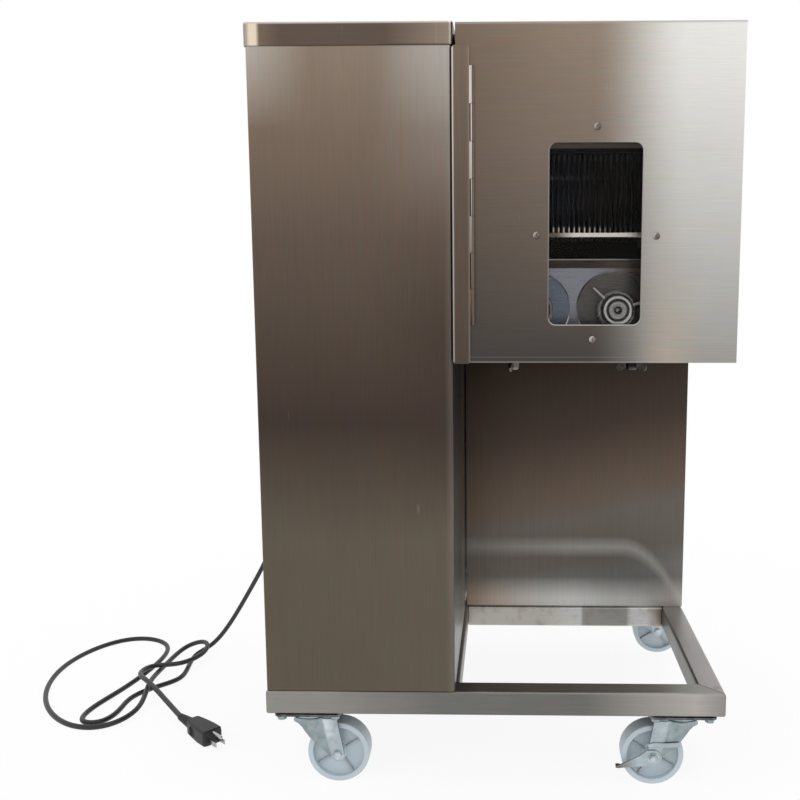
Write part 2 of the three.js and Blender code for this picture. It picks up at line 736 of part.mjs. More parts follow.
// Lower set, with shafts that run front to back. Its pieces are placed by their depth from the front
const frontPlateDepth = 64.3;
const rearPlateDepth = 250;
const lowerFirstDisc = 80;
const gearBehindPanel = 10;
const lowerGearDepth = chamberDepth + sheet + gearBehindPanel;
const crossBeltFromRear = 85;
const crossBeltDepth = frameDepth - crossBeltFromRear;
const crossBeltWidth = 15;
const shaftPastPlate = 6;
const lowerShaftEnd = drivePlateDepth + endPlate + shaftPastPlate;
const flangeRadius = 44;
const flangeThick = 5;
const nutFaceDepth = 12;
const tommyPinDepth = 25;
const plateMargin = 65;
const lowerPlateRise = 58;
const plateTopZLower = lowerAxisZ + lowerPlateRise;
const footThick = 6;
const wingReach = 21;

// A pulley rim with two lips, as profile points from its front side to its back
function pulleyRim(from, radius, width) {
  const lip = radius + pulleyLip + beltThick / 2;
  return [
    [lip, from], [lip, from + 2], [radius, from + 2],
    [radius, from + width - 2], [lip, from + width - 2], [lip, from + width],
  ];
}

function lockNutProfile() {
  const at = nutFaceDepth;
  const collarEnd = frontPlateDepth - seat - flangeThick - seat;
  return [
    [0, at + 5], [4, at + 5], [4, at], [16.5, at],
    [16.5, at + 8], [19, at + 8], [19, at + 18], [spacerRadius, at + 18], [spacerRadius, collarEnd],
    [shaftRadius, collarEnd],
  ];
}

function lowerRoller(firstDisc, pulley, pinPhase) {
  const frontIn = frontPlateDepth + endPlate;
  const rim = pulley ? [[shaftRadius, crossBeltDepth], ...pulleyRim(crossBeltDepth, crossPulleyRadius, crossBeltWidth),
    [shaftRadius, crossBeltDepth + crossBeltWidth]] : [];
  const profile = [
    ...lockNutProfile(),
    ...discProfile(firstDisc, lowerCount, lowerPitch, discThick, frontIn + shoulderGap,
      rearPlateDepth - shoulderGap),
    ...rim,
    [shaftRadius, lowerShaftEnd], [0, lowerShaftEnd],
  ];
  const pins = [];
  for (let i = 0; i < 3; i += 1) {
    const pin = rod('z', 1.5, 15, 37, [tommyPinDepth, 0], 8);
    pins.push(pin.rotate([pinPhase + i * 120, 0, 0]));
  }
  return join(revolve('x', profile, [0, 0], lowerSides), gearSolid(lowerGearDepth, lowerGearDepth + gearWidth), ...pins);
}

function addLowerSet() {
  const left = lowerLeftX - plateMargin;
  const right = lowerRightX + plateMargin;
  const shaftHole = (x, from, to) => bore('y', shaftRadius + runFit, from - 1, to + 1, [x, lowerAxisZ]);
  const frontFrom = front + frontPlateDepth;
  const frontTo = frontFrom + endPlate;
  const footFrom = front + railDepthFrom;
  const screwHole = (x) => bore('z', wingScrewRadius + runFit, railTop, railTop + seat + footThick + 1,
    [x, front + wingDepth], boltSides);
  const frontPlate = cut(
    join(
      box(left, right, frontFrom, frontTo, railTop + seat, plateTopZLower),
      box(left, right, footFrom, frontTo, railTop + seat, railTop + seat + footThick),
    ),
    shaftHole(lowerLeftX, frontFrom, frontTo),
    shaftHole(lowerRightX, frontFrom, frontTo),
    screwHole(lowerLeftX - wingInset),
    screwHole(lowerRightX + wingInset),
  );
  addPiece('lower_front_plate', frontPlate, brightSteel);

  const rearFrom = front + rearPlateDepth;
  const rearTo = rearFrom + endPlate;
  const plateBottom = railTop + seat;
  const middle = (lowerLeftX + lowerRightX) / 2;
  const standOff = (x, z) => rod('y', 8, rearTo - 1, panelFront - seat, [x, z], boltSides);
  const rearPlate = cut(
    join(
      box(left, right, rearFrom, rearTo, plateBottom, plateTopZLower),
      standOff(left + 12, plateBottom + 12),
      standOff(right - 12, plateBottom + 12),
      standOff(middle, plateTopZLower - 10),
      standOff(middle, plateBottom + 12),
    ),
    shaftHole(lowerLeftX, rearFrom, rearTo),
    shaftHole(lowerRightX, rearFrom, rearTo),
  );
  addPiece('lower_rear_plate', rearPlate, brightSteel);

  const rollers = [
    ['lower_left_roller', lowerLeftX, lowerFirstDisc, true, 30],
    ['lower_right_roller', lowerRightX, lowerFirstDisc + lowerPitch / 2, false, 86],
  ];
  for (const [name, x, first, pulley, pinPhase] of rollers) {
    const roller = addPiece(name, lowerRoller(first, pulley, pinPhase), brightSteel);
    roller.position.set(x, front, lowerAxisZ);
    roller.rotation.z = Math.PI / 2;
  }

  const from = frontPlateDepth + endPlate + seat;
  const to = rearPlateDepth - seat;
  const comb = (first) => combSolid(from, to, first, lowerCount - 1, lowerPitch, lowerFinger, lowerReach,
    lowerCombHalf, -lowerCombHalf);
  const rightComb = addPiece('lower_right_comb', comb(lowerFirstDisc + lowerPitch), plainSteel);
  rightComb.position.set(lowerRightX, front, lowerAxisZ);
  rightComb.rotation.z = Math.PI / 2;
  const mirrored = from + to - (lowerFirstDisc + lowerPitch / 2 + (lowerCount - 2) * lowerPitch);
  const leftComb = addPiece('lower_left_comb', comb(mirrored), plainSteel);
  leftComb.position.set(lowerLeftX, front + from + to, lowerAxisZ);
  leftComb.rotation.z = -Math.PI / 2;

  const flangeBack = frontFrom - seat;
  const hole = (shaftRadius + runFit) / Math.cos(Math.PI / roundSides);
  const flange = [
    [hole, flangeBack - flangeThick], [flangeRadius - 1.5, flangeBack - flangeThick],
    [flangeRadius, flangeBack - flangeThick + 1.5], [flangeRadius, flangeBack], [hole, flangeBack],
    [hole, flangeBack - flangeThick],
  ];
  addPiece('lower_left_flange', revolve('y', flange, [lowerLeftX, lowerAxisZ]), brightSteel);
  addPiece('lower_right_flange', revolve('y', flange, [lowerRightX, lowerAxisZ]), brightSteel);
  addPiece('left_wing_screw', wingScrewSolid(lowerLeftX - wingInset, 20), brightSteel);
  addPiece('right_wing_screw', wingScrewSolid(lowerRightX + wingInset, -15), brightSteel);
}

function wingScrewSolid(x, turn) {
  const seatZ = railTop - railThick - seat;
  const stem = revolve('z', [
    [0, seatZ - 16], [6, seatZ - 16], [7, seatZ - 10], [9, seatZ], [wingScrewRadius, seatZ],
    [wingScrewRadius, railTop + seat + footThick - 1], [0, railTop + seat + footThick - 1],
  ], [0, 0], boltSides);
  const wing = (side) => prism('y', outlineOf(
    [side * 4, seatZ - 14], [side * 14, seatZ - wingReach], [side * wingReach, seatZ - 20],
    [side * (wingReach - 1), seatZ - 9], [side * 6, seatZ - 5],
  ), -1.5, 1.5);
  return join(stem, wing(1), wing(-1)).rotate([0, 0, turn]).translate([x, front + wingDepth, 0]);
}

// Drive: geared motor, belts, jack shaft, right-angle gearbox and the plate that carries the shaft ends
const driveBeltWidth = 22;
const beltSpacing = 36;
const driveBeltDepth = crossBeltDepth - beltSpacing - driveBeltWidth;
const motorToBelt = 17;
const motorBackDepth = driveBeltDepth - motorToBelt;
const motorFootLength = 110;
const motorFootSetback = 40;
const motorFootSpacing = 50;
const motorFootWidth = 28;
const motorBaseWidth = 150;
const motorBaseThick = 8;
const terminalBoxWidth = 56;
const terminalBoxLength = 60;
const terminalBoxTop = 108;
const gearboxLength = 100;
const gearboxToBelt = 27;
const gearboxBackDepth = driveBeltDepth - gearboxToBelt;
const gearboxPastShaft = 47.5;
const gearboxFrontDepth = frontRollerDepth + rollerSpacing - gearboxPastShaft;
const gearboxHeight = 110;
const gearboxRise = 56;
const gearboxTop = upperAxisZ + gearboxRise;
const gearboxBottom = gearboxTop - gearboxHeight;
const jackFrontDepth = gearboxBackDepth - shaftInBlock;
const jackHub = 20;

function motorSolid() {
  const back = front + motorBackDepth;
  const start = back - motorLength;
  const body = revolve('y', [
    [0, start], [motorRadius - 22, start], [motorRadius - 8, start + 12], [motorRadius - 8, start + 40],
    [motorRadius, start + 44], [motorRadius, back - 22], [motorRadius - 40, back - 10],
    [motorRadius - 40, back], [0, back],
  ], [motorX, motorZ], 20);
  const deck = bodyBottom + motorDeckThick + seat;
  const footBack = back - motorFootSetback;
  const footFront = footBack - motorFootLength;
  const foot = (side) => box(motorX + side * motorFootSpacing - motorFootWidth / 2,
    motorX + side * motorFootSpacing + motorFootWidth / 2, footFront, footBack, deck, motorZ - motorRadius * 0.625);
  const base = box(motorX - motorBaseWidth / 2, motorX + motorBaseWidth / 2, footFront, footBack,
    deck, deck + motorBaseThick);
  const boxFront = start + terminalBoxLength;
  const terminalBox = box(motorX - terminalBoxWidth / 2, motorX + terminalBoxWidth / 2, boxFront,
    boxFront + terminalBoxLength, motorZ + motorRadius * 0.75, motorZ + terminalBoxTop);
  const hole = bore('y', 12 + runFit, back - 20, back + 1, [motorX, motorZ]);
  return cut(join(body, foot(-1), foot(1), base, terminalBox), hole);
}

// Open-belt loop round two wheels, drawn clear of them by the belt seat
function beltSolid(a, radiusA, b, radiusB, from, to) {
  const [ax, az] = a;
  const [bx, bz] = b;
  const span = Math.hypot(bx - ax, bz - az);
  const line = Math.atan2(bz - az, bx - ax);
  const spread = Math.acos((radiusA - radiusB) / span);
  const loop = (grow) => [
    ...arcPoints(ax, az, radiusA + grow, line + spread, line - spread + 2 * Math.PI, 14),
    ...arcPoints(bx, bz, radiusB + grow, line - spread, line + spread, 14),
  ];
  return prism('y', loop(beltSeat + beltThick), from, to, [loop(beltSeat)]);
}

function addDrive() {
  addPiece('motor', motorSolid(), castGrey);
  const back = front + motorBackDepth;
  const beltFrom = front + driveBeltDepth;
  const motorPulley = revolve('y', [
    [0, back - 19], [12, back - 19], [12, back + 4], [24, back + 4], [24, beltFrom],
    ...pulleyRim(beltFrom, motorPulleyRadius, driveBeltWidth), [0, beltFrom + driveBeltWidth],
  ], [motorX, motorZ]);
  addPiece('motor_pulley', motorPulley, castGrey);
  const jack = [jackX, upperAxisZ];
  const motor = [motorX, motorZ];
  addPiece('drive_belt', beltSolid(jack, drivePulleyRadius, motor, motorPulleyRadius,
    beltFrom + 2 + seat, beltFrom + driveBeltWidth - 2 - seat), blackRubber);

  const crossFrom = front + crossBeltDepth;
  const rimIn = drivePulleyRadius - 10;
  const webFrom = beltFrom + 7;
  const shaft = revolve('y', [
    [0, front + jackFrontDepth], [shaftRadius, front + jackFrontDepth], [shaftRadius, beltFrom - 8],
    [jackHub, beltFrom - 8], [jackHub, webFrom], [rimIn, webFrom], [rimIn, beltFrom],
    ...pulleyRim(beltFrom, drivePulleyRadius, driveBeltWidth),
    [shaftRadius, beltFrom + driveBeltWidth], [shaftRadius, crossFrom],
    ...pulleyRim(crossFrom, crossPulleyRadius, crossBeltWidth),
    [shaftRadius, crossFrom + crossBeltWidth], [shaftRadius, front + lowerShaftEnd], [0, front + lowerShaftEnd],
  ], jack, 14);
  addPiece('jack_shaft', shaft, castGrey);
  addPiece('cross_belt', beltSolid(jack, crossPulleyRadius, [lowerLeftX, lowerAxisZ], crossPulleyRadius,
    crossFrom + 2 + seat, crossFrom + crossBeltWidth - 2 - seat), blackRubber);
  addPiece('gearbox', gearboxSolid(), castGrey);
  addPiece('drive_plate', drivePlateSolid(), plainSteel);
}

function gearboxSolid() {
  const y0 = front + gearboxFrontDepth;
  const y1 = front + gearboxBackDepth;
  const wall = cabinetLeft + sheet + seat;
  const left = gearboxRight - gearboxLength;
  const block = prism('x', roundedRect(y0, y1, gearboxBottom, gearboxTop, 10, 2), left, gearboxRight);
  const arm = box(wall + 4, left + 1, y0 + 40, y1 - 40, gearboxBottom + 30, gearboxTop - 30);
  const flange = box(wall, wall + 8, y0 + 20, y1 - 20, gearboxBottom + 5, gearboxTop - 5);
  return cut(
    join(block, arm, flange),
    bore('x', shaftRadius + runFit, gearboxRight - shaftInBlock - 1, gearboxRight + 6, [rearAxisY, upperAxisZ]),
    bore('y', shaftRadius + runFit, front + jackFrontDepth - 1, y1 + 7, [jackX, upperAxisZ]),
  );
}

function drivePlateSolid() {
  const y0 = front + drivePlateDepth;
  const y1 = y0 + endPlate;
  const wall = cabinetLeft + sheet + seat;
  const margin = 40;
  const outline = outlineOf(
    [wall, upperAxisZ + margin], [jackX + margin, upperAxisZ + margin], [lowerRightX + 75, lowerAxisZ + 75],
    [lowerRightX + 75, lowerAxisZ - 75], [lowerLeftX - 30, lowerAxisZ - 75], [jackX - 20, upperAxisZ - margin],
    [wall, upperAxisZ - margin],
  );
  const shaftHole = (x, z) => bore('y', shaftRadius + runFit, y0 - 1, y1 + 1, [x, z]);
  const pillar = (x, z) => rod('y', 8, panelBack + seat, y0 + 1, [x, z], boltSides);
  const middle = (lowerLeftX + lowerRightX) / 2;
  return cut(
    join(
      prism('y', outline, y0, y1),
      box(wall, wall + endPlate, y0 - 24, y1, upperAxisZ - margin, upperAxisZ + margin),
      pillar(middle, lowerAxisZ + 65),
      pillar(middle, lowerAxisZ - 63),
      pillar(lowerRightX + 65, lowerAxisZ),
    ),
    shaftHole(jackX, upperAxisZ),
    shaftHole(lowerLeftX, lowerAxisZ),
    shaftHole(lowerRightX, lowerAxisZ),
  );
}

// Start and stop buttons in the cabinet's left wall, with a stem through the wall and a retaining disc
function addButtons() {
  const travel = 4;
  const inside = cabinetLeft + sheet + seat;
  const headBack = cabinetLeft - seat - travel;
  const profile = [
    [0, headBack - 5], [12, headBack - 5], [13, headBack], [buttonHoleRadius, headBack],
    [buttonHoleRadius, inside], [11, inside], [11, inside + 4], [0, inside + 4],
  ];
  const button = (depth) => revolve('x', profile, [front + depth, buttonZ], 12);
  addPiece('start_button', button(buttonDepth - buttonSpread), greenPlastic);
  addPiece('stop_button', button(buttonDepth + buttonSpread), redPlastic);
}

// Mains lead: gland, tapered strain relief, the lead itself and a moulded three-pin plug
const cordExitX = -312;
const cordRoute = [
  [-312, 195, 215], [-337, 195, 215], [-360, 195, 194], [-383, 195, 144], [-413, 195, 92], [-444, 195, 40],
  [-474, 197, 3.8], [-493, 167, 3.8], [-488, 117, 3.8], [-480, 67, 3.8], [-512, 41, 3.8], [-540, 3, 3.8],
  [-534, -43, 3.8], [-546, -81, 3.8], [-582, -77, 3.8], [-580, -31, 3.8], [-561, 21, 3.8], [-547, 77, 3.8],
  [-538, 136, 3.8], [-541, 201, 3.8], [-596, 237, 3.8], [-654, 213, 3.8], [-694, 115, 3.8], [-668, -7, 3.8],
  [-596, -91, 3.8], [-534, -96, 3.8], [-504, -51, 8], [-511, -5, 13], [-522, 43, 12], [-527, 97, 3.8],
  [-524, 151, 3.8], [-512, 189, 10], [-474, 181, 22], [-464, 139, 16], [-496, 97, 12.4], [-540, 103, 12.4],
  [-548, 54, 17], [-513, 17, 24], [-477, -23, 14], [-436, -75, 12.5],
];
const reliefLength = 31;
const plugBodyLength = 54;
const bladeLength = 22;

function clampedKnots(count, degree) {
  const knots = [];
  for (let i = 0; i < count + degree + 1; i += 1) {
    knots.push(Math.min(Math.max(i - degree, 0), count - degree));
  }
  return knots;
}

function cordPath() {
  const points = cordRoute.map(([x, y, z]) => new THREE.Vector4(x, y, z, 1));
  const path = new NURBSCurve(3, clampedKnots(points.length, 3), points);
  path.getUtoTmapping = (u) => u;
  return path;
}

function glandSolid() {
  const wall = cabinetLeft;
  const centre = [front + glandDepth, glandZ];
  const body = revolve('x', [
    [0, cordExitX + seat], [5.2, cordExitX + seat], [8, wall - 18], [12, wall - 15], [13, wall - 12],
    [13, wall - 5], [15, wall - 5], [15, wall - seat], [glandShank, wall - seat], [glandShank, wall + sheet + 8],
    [0, wall + sheet + 8],
  ], centre, 12);
  const lockNut = rod('x', 14, wall + sheet + seat, wall + sheet + 5, centre, 6);
  return join(body, lockNut);
}

// Local x runs from the lead towards the blades
function plugSolid() {
  const bodyFrom = reliefLength;
  const bodyTo = reliefLength + plugBodyLength;
  const relief = revolve('x', [
    [0, seat], [cordRadius + 1.2, seat], [7.5, bodyFrom], [7.5, bodyFrom + 4], [0, bodyFrom + 4],
  ], [0, 0], 12);
  const side = outlineOf(
    [bodyFrom, -8.5], [bodyFrom + 3, -10.5], [bodyTo - 12, -14], [bodyTo, -14],
    [bodyTo, 14], [bodyTo - 12, 14], [bodyFrom + 3, 10.5], [bodyFrom, 8.5],
  );
  const top = outlineOf(
    [bodyFrom, -7.5], [bodyFrom + 4, -9.5], [bodyTo - 3, -11.5], [bodyTo, -10.5],
    [bodyTo, 10.5], [bodyTo - 3, 11.5], [bodyFrom + 4, 9.5], [bodyFrom, 7.5],
  );
  const body = prism('z', side, -12, 12).intersect(prism('y', top, -15, 15));
  const tip = bodyTo + bladeLength;
  const blade = (y) => box(bodyTo - 1, tip - 4, y - 0.75, y + 0.75, -6.2, 0.2);
  const groundPin = revolve('x', [
    [0, bodyTo - 1], [2.4, bodyTo - 1], [2.4, tip - 2], [1.2, tip], [0, tip],
  ], [0, 6.5], 10);
  return join(relief, body, blade(-6.3), blade(6.3), groundPin);
}

function addLead() {
  addPiece('cord_gland', glandSolid(), blackRubber);
  const section = new THREE.Shape(arcPoints(0, 0, cordRadius, 0, 2 * Math.PI * (1 - 1 / cordSides), cordSides - 1));
  const tube = new THREE.ExtrudeGeometry(section, { steps: cordSteps, extrudePath: cordPath() });
  addPiece('power_cord', toSolid(tube), blackRubber);
  const end = new THREE.Vector3().fromArray(cordRoute[cordRoute.length - 1]);
  const before = new THREE.Vector3().fromArray(cordRoute[cordRoute.length - 2]);
  const plug = addPiece('power_plug', plugSolid(), blackRubber);
  plug.position.copy(end);
  plug.rotation.z = Math.atan2(end.y - before.y, end.x - before.x);
}

addFrame();
addCasters();
addCabinet();
addHousing();
addChamber();
addDoor();
addUpperSet();
addLowerSet();
addDrive();
addButtons();
addLead();

export default part;
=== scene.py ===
import json
import math

import bpy
from bpy.props import FloatProperty, FloatVectorProperty, PointerProperty
from bpy.types import Operator, Panel, PropertyGroup
from mathutils import Matrix, Vector

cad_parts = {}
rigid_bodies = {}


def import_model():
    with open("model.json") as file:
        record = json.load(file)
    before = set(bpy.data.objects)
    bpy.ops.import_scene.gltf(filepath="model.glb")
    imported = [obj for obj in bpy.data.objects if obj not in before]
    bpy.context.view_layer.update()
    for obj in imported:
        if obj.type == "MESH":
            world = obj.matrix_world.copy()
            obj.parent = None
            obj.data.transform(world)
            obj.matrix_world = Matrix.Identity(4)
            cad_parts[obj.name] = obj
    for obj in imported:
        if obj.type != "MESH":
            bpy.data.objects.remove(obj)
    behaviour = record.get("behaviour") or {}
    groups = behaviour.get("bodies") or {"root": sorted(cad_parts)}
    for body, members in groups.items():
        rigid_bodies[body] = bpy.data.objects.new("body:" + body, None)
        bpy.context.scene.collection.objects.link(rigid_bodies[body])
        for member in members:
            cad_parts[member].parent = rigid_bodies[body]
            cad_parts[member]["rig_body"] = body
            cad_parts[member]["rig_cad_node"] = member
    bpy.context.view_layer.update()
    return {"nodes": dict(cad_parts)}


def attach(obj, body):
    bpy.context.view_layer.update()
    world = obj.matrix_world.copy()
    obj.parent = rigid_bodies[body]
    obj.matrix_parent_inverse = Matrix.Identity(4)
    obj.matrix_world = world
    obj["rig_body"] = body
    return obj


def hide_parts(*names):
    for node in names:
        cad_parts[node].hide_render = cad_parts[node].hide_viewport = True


bl_info = {
    "name": "Strip Slicer",
    "version": (1, 0, 0),
    "blender": (4, 5, 0),
    "location": "3D View > Sidebar > Slicer",
    "description": "Models and finishes a floor-standing meat strip slicer",
    "category": "Object",
}

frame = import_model()

# Places and sizes are in millimetres, the lead's length is in metres
MM = 0.001
FRONT = -235.0
AXES = {"X": Vector((1, 0, 0)), "Y": Vector((0, 1, 0)), "Z": Vector((0, 0, 1))}
UPPER_Z = 714.0
LOWER_Z = 579.0
UPPER_AXES_Y = (-132.5, -37.5)
LOWER_AXES_X = (45.0, 140.0)
DOOR = (-43.2, 273.5, 520.0, 892.0)
WINDOW = (60.5, 163.5, 563.5, 763.7)
WINDOW_CORNER = 8.5
HINGE = (-24.5, -237.75)
HINGE_FOOT = 563
HINGE_TOP = 846
AXLE = (34, 38)
MOTOR_AXIS = (-160, 250)
JACK_AXIS = (-150, 714)
BUTTON_Z = 760
MOTOR_BACK = FRONT + 310
BELT_PLANE = FRONT + 327
CROSS_PLANE = FRONT + 385
SHAFT_END = FRONT + 432
LAID = 3.8
REAR = 235.0
COVER_RIGHT = 275.0
COVER_TOP = 890.0
CASTER_X = 226
CASTER_Y = 205
CAMERA_PLACE = (13.46, -1338.64, 631.5)
CAMERA_TURN = (90 - 7.95, 0.086, 1.223)
CAMERA_LENS = 43.85
CAMERA_SHIFT = -0.1072


# Sizes and colours


class SlicerFinish(PropertyGroup):
    wheel_colour: FloatVectorProperty(name="Wheel colour", description="Colour of the caster wheels",
                                      subtype="COLOR", default=(0.46, 0.54, 0.59), min=0.0, max=1.0)
    lead_colour: FloatVectorProperty(name="Lead colour", description="Colour of the mains lead and its plug",
                                     subtype="COLOR", default=(0.008, 0.008, 0.009), min=0.0, max=1.0)


class SlicerSizes(PropertyGroup):
    cord_diameter: FloatProperty(name="Lead diameter", description="Outside diameter of the mains lead",
                                 default=0.0072, min=0.004, max=0.012, unit="LENGTH")
    edge_easing: FloatProperty(name="Edge easing", description="Scales how far sheet edges are eased",
                               default=1.0, min=0.25, max=2.0, subtype="FACTOR")
    turning_detail: FloatProperty(name="Turning detail", description="Scales the steps round a turned piece",
                                  default=1.0, min=0.5, max=2.0, subtype="FACTOR")


# Modelling helpers


def metres(point):
    return Vector(point) * MM


def clear_selection():
    if bpy.context.object and bpy.context.object.mode != "OBJECT":
        bpy.ops.object.mode_set(mode="OBJECT")
    bpy.ops.object.select_all(action="DESELECT")


def pick(*pieces):
    clear_selection()
    for piece in pieces:
        piece.select_set(True)
    bpy.context.view_layer.objects.active = pieces[0]
    return pieces[0]


def settle(piece):
    pick(piece)
    bpy.ops.object.transform_apply(location=True, rotation=True, scale=True)
    return piece


def in_plane(axis, u, v, depth):
    if axis == "X":
        return (depth, u, v)
    if axis == "Y":
        return (u, depth, v)
    return (u, v, depth)


def arc(u, v, radius, start, end, steps):
    angles = [math.radians(start + (end - start) * i / steps) for i in range(steps + 1)]
    return [(u + radius * math.cos(a), v + radius * math.sin(a)) for a in angles]


def rounded(u0, u1, v0, v1, radius, steps=10):
    return (
        arc(u1 - radius, v1 - radius, radius, 0, 90, steps)
        + arc(u0 + radius, v1 - radius, radius, 90, 180, steps)
        + arc(u0 + radius, v0 + radius, radius, 180, 270, steps)
        + arc(u1 - radius, v0 + radius, radius, 270, 360, steps)
    )


def drawn(name, points):
    """A chain of edges through points in millimetres, left in edit mode."""
    clear_selection()
    bpy.ops.mesh.primitive_plane_add(size=MM, location=metres(points[0]))
    piece = bpy.context.object
    piece.name = name
    bpy.ops.object.mode_set(mode="EDIT")
    bpy.ops.mesh.select_all(action="SELECT")
    bpy.ops.mesh.merge(type="CENTER")
    for here, there in zip(points, points[1:]):
        step = metres(there) - metres(here)
        bpy.ops.mesh.extrude_region_move(TRANSFORM_OT_translate={"value": step})
    bpy.ops.mesh.select_all(action="SELECT")
    return piece


def turned(name, profile, axis, centre, steps):
    """A profile of (radius, distance along the axis) spun once round the axis."""
    steps = round(steps * bpy.context.scene.slicer_sizes.turning_detail)
    u, v = centre
    across = [in_plane(axis, u + r, v, d) for r, d in profile]
    piece = drawn(name, across)
    pivot = metres(in_plane(axis, u, v, 0))
    bpy.ops.mesh.spin(steps=steps, angle=2 * math.pi, center=pivot, axis=AXES[axis])
    bpy.ops.mesh.select_all(action="SELECT")
    bpy.ops.mesh.remove_doubles(threshold=2e-6)
    bpy.ops.mesh.normals_make_consistent(inside=False)
    return settle(piece)


def plated(name, outline, axis, start, end):
    """A flat outline filled and extruded from one plane to another."""
    piece = drawn(name, [in_plane(axis, u, v, start) for u, v in outline])
    bpy.ops.mesh.edge_face_add()
    push = AXES[axis] * (end - start) * MM
    bpy.ops.mesh.extrude_region_move(TRANSFORM_OT_translate={"value": push})
    bpy.ops.mesh.select_all(action="SELECT")
    bpy.ops.mesh.normals_make_consistent(inside=False)
    return settle(piece)


def boxed(name, low, high):
    clear_selection()
    middle = (metres(low) + metres(high)) / 2
    size = metres(high) - metres(low)
    bpy.ops.mesh.primitive_cube_add(size=1, location=middle, scale=size)
    piece = bpy.context.object
    piece.name = name
    return settle(piece)


def pin(name, radius, start, end, axis, centre, steps):
    return turned(name, [(0, start), (radius, start), (radius, end), (0, end)], axis, centre, steps)


def mirrored(half):
    """Half a profile and its mirror image, closed at the start."""
    return half + [(u, -v) for u, v in reversed(half)] + half[:1]


def apply_modifier(piece, modifier):
    pick(piece)
    bpy.ops.object.modifier_apply(modifier=modifier.name)


def bevelled(piece, width, segments=2, angle=30):
    modifier = piece.modifiers.new("eased edges", "BEVEL")
    modifier.width = width * MM
    modifier.segments = segments
    modifier.limit_method = "ANGLE"
    modifier.angle_limit = math.radians(angle)
    modifier.use_clamp_overlap = True
    apply_modifier(piece, modifier)
    return piece


def hollowed(piece, *cutters):
    for cutter in cutters:
        modifier = piece.modifiers.new("opening", "BOOLEAN")
        modifier.operation = "DIFFERENCE"
        modifier.solver = "EXACT"
        modifier.object = cutter
        apply_modifier(piece, modifier)
        bpy.data.objects.remove(cutter)
    return piece


def joined(name, *pieces):
    pick(*pieces)
    if len(pieces) > 1:
        bpy.ops.object.join()
    piece = bpy.context.object
    piece.name = name
    return piece


def copied(piece, name, turn=0.0, shift=(0, 0, 0), pivot=(0, 0, 0), axis="Z"):
    """A copy with its own mesh, turned about the pivot in degrees and shifted in millimetres."""
    pick(piece)
    bpy.ops.object.duplicate()
    copy = bpy.context.object
    copy.name = name
    move = Matrix.Translation(metres(shift)) @ Matrix.Translation(metres(pivot))
    spin = Matrix.Rotation(math.radians(turn), 4, AXES[axis])
    copy.matrix_world = move @ spin @ Matrix.Translation(-metres(pivot)) @ copy.matrix_world
    return settle(copy)


def carried(node, name, width, segments=2, angle=25):
    """A copy of a CAD node as clean faces, with its edges eased."""
    pick(frame["nodes"][node])
    bpy.ops.object.duplicate()
    piece = bpy.context.object
    piece.parent = None
    piece.name = name
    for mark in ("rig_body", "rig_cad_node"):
        if mark in piece:
            del piece[mark]
    bpy.ops.mesh.customdata_custom_splitnormals_clear()
    bpy.ops.object.mode_set(mode="EDIT")
    bpy.ops.mesh.select_all(action="SELECT")
    bpy.ops.mesh.remove_doubles(threshold=2e-6)
    bpy.ops.mesh.mark_sharp(clear=True)
    bpy.ops.mesh.dissolve_limited(angle_limit=math.radians(0.6))
    bpy.ops.object.mode_set(mode="OBJECT")
    return bevelled(piece, width * bpy.context.scene.slicer_sizes.edge_easing, segments, angle)


def dressed(piece, body, slot, finish, *nodes, smooth=35):
    pick(piece)
    bpy.ops.object.shade_smooth_by_angle(angle=math.radians(smooth))
    weighting = piece.modifiers.new("FlatFaces", "WEIGHTED_NORMAL")
    weighting.keep_sharp = True
    apply_modifier(piece, weighting)
    piece.data.materials.clear()
    piece.data.materials.append(finish)
    if nodes:
        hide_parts(*nodes)
    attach(piece, body)
    return piece


def carried_over(*rows):
    """Sheets, tubes and plates of the machine that keep the CAD shape, with eased edges and a finish."""
    for node, name, slot, look, *easing in rows:
        dressed(carried(node, name, *easing), "machine", slot, finish(look), node)


def hex_head(name, axis, centre, base, height, radius):
    """A hexagon bolt head with eased corners on a washer face, pointing along the axis."""
    u, v = centre
    corners = arc(u, v, radius, 0, 300, 5)
    sign = 1 if height > 0 else -1
    head = plated(name, corners, axis, base + sign * 0.5, base + height)
    bevelled(head, radius * 0.12, 2, 40)
    washer = pin(name + "_washer", radius * 1.15, base, base + sign * 0.6, axis, centre, 24)
    return joined(name, head, washer)


def dome_head(name, axis, centre, base, height, radius):
    """A pan-head screw with a cross recess, pointing along the axis."""
    sign = 1 if height > 0 else -1
    crown = [(0, base), (radius, base), (radius, base + height * 0.35)]
    crown += [
        (radius * math.cos(math.radians(a)), base + height * (0.35 + 0.65 * math.sin(math.radians(a))))
        for a in (25, 45, 65, 80)
    ]
    crown.append((0, base + height))
    head = turned(name, crown, axis, centre, 24)
    u, v = centre
    arm = radius * 0.55
    thick = radius * 0.16
    deep = base + height - sign * radius * 0.3
    slots = []
    for wide, tall in ((arm, thick), (thick, arm)):
        low = in_plane(axis, u - wide, v - tall, min(deep, base + height * 1.2))
        high = in_plane(axis, u + wide, v + tall, max(deep, base + height * 1.2))
        slots.append(boxed(name + "_slot", low, high))
    return hollowed(head, *slots)


# Materials


def node_group(name, inputs, outputs):
    tree = bpy.data.node_groups.new(name, "ShaderNodeTree")
    for label, kind, value in inputs:
        socket = tree.interface.new_socket(name=label, in_out="INPUT", socket_type=kind)
        if value is not None:
            socket.default_value = value
    for label, kind in outputs:
        tree.interface.new_socket(name=label, in_out="OUTPUT", socket_type=kind)
    entry = tree.nodes.new("NodeGroupInput")
    leave = tree.nodes.new("NodeGroupOutput")
    return tree, entry.outputs, leave.inputs


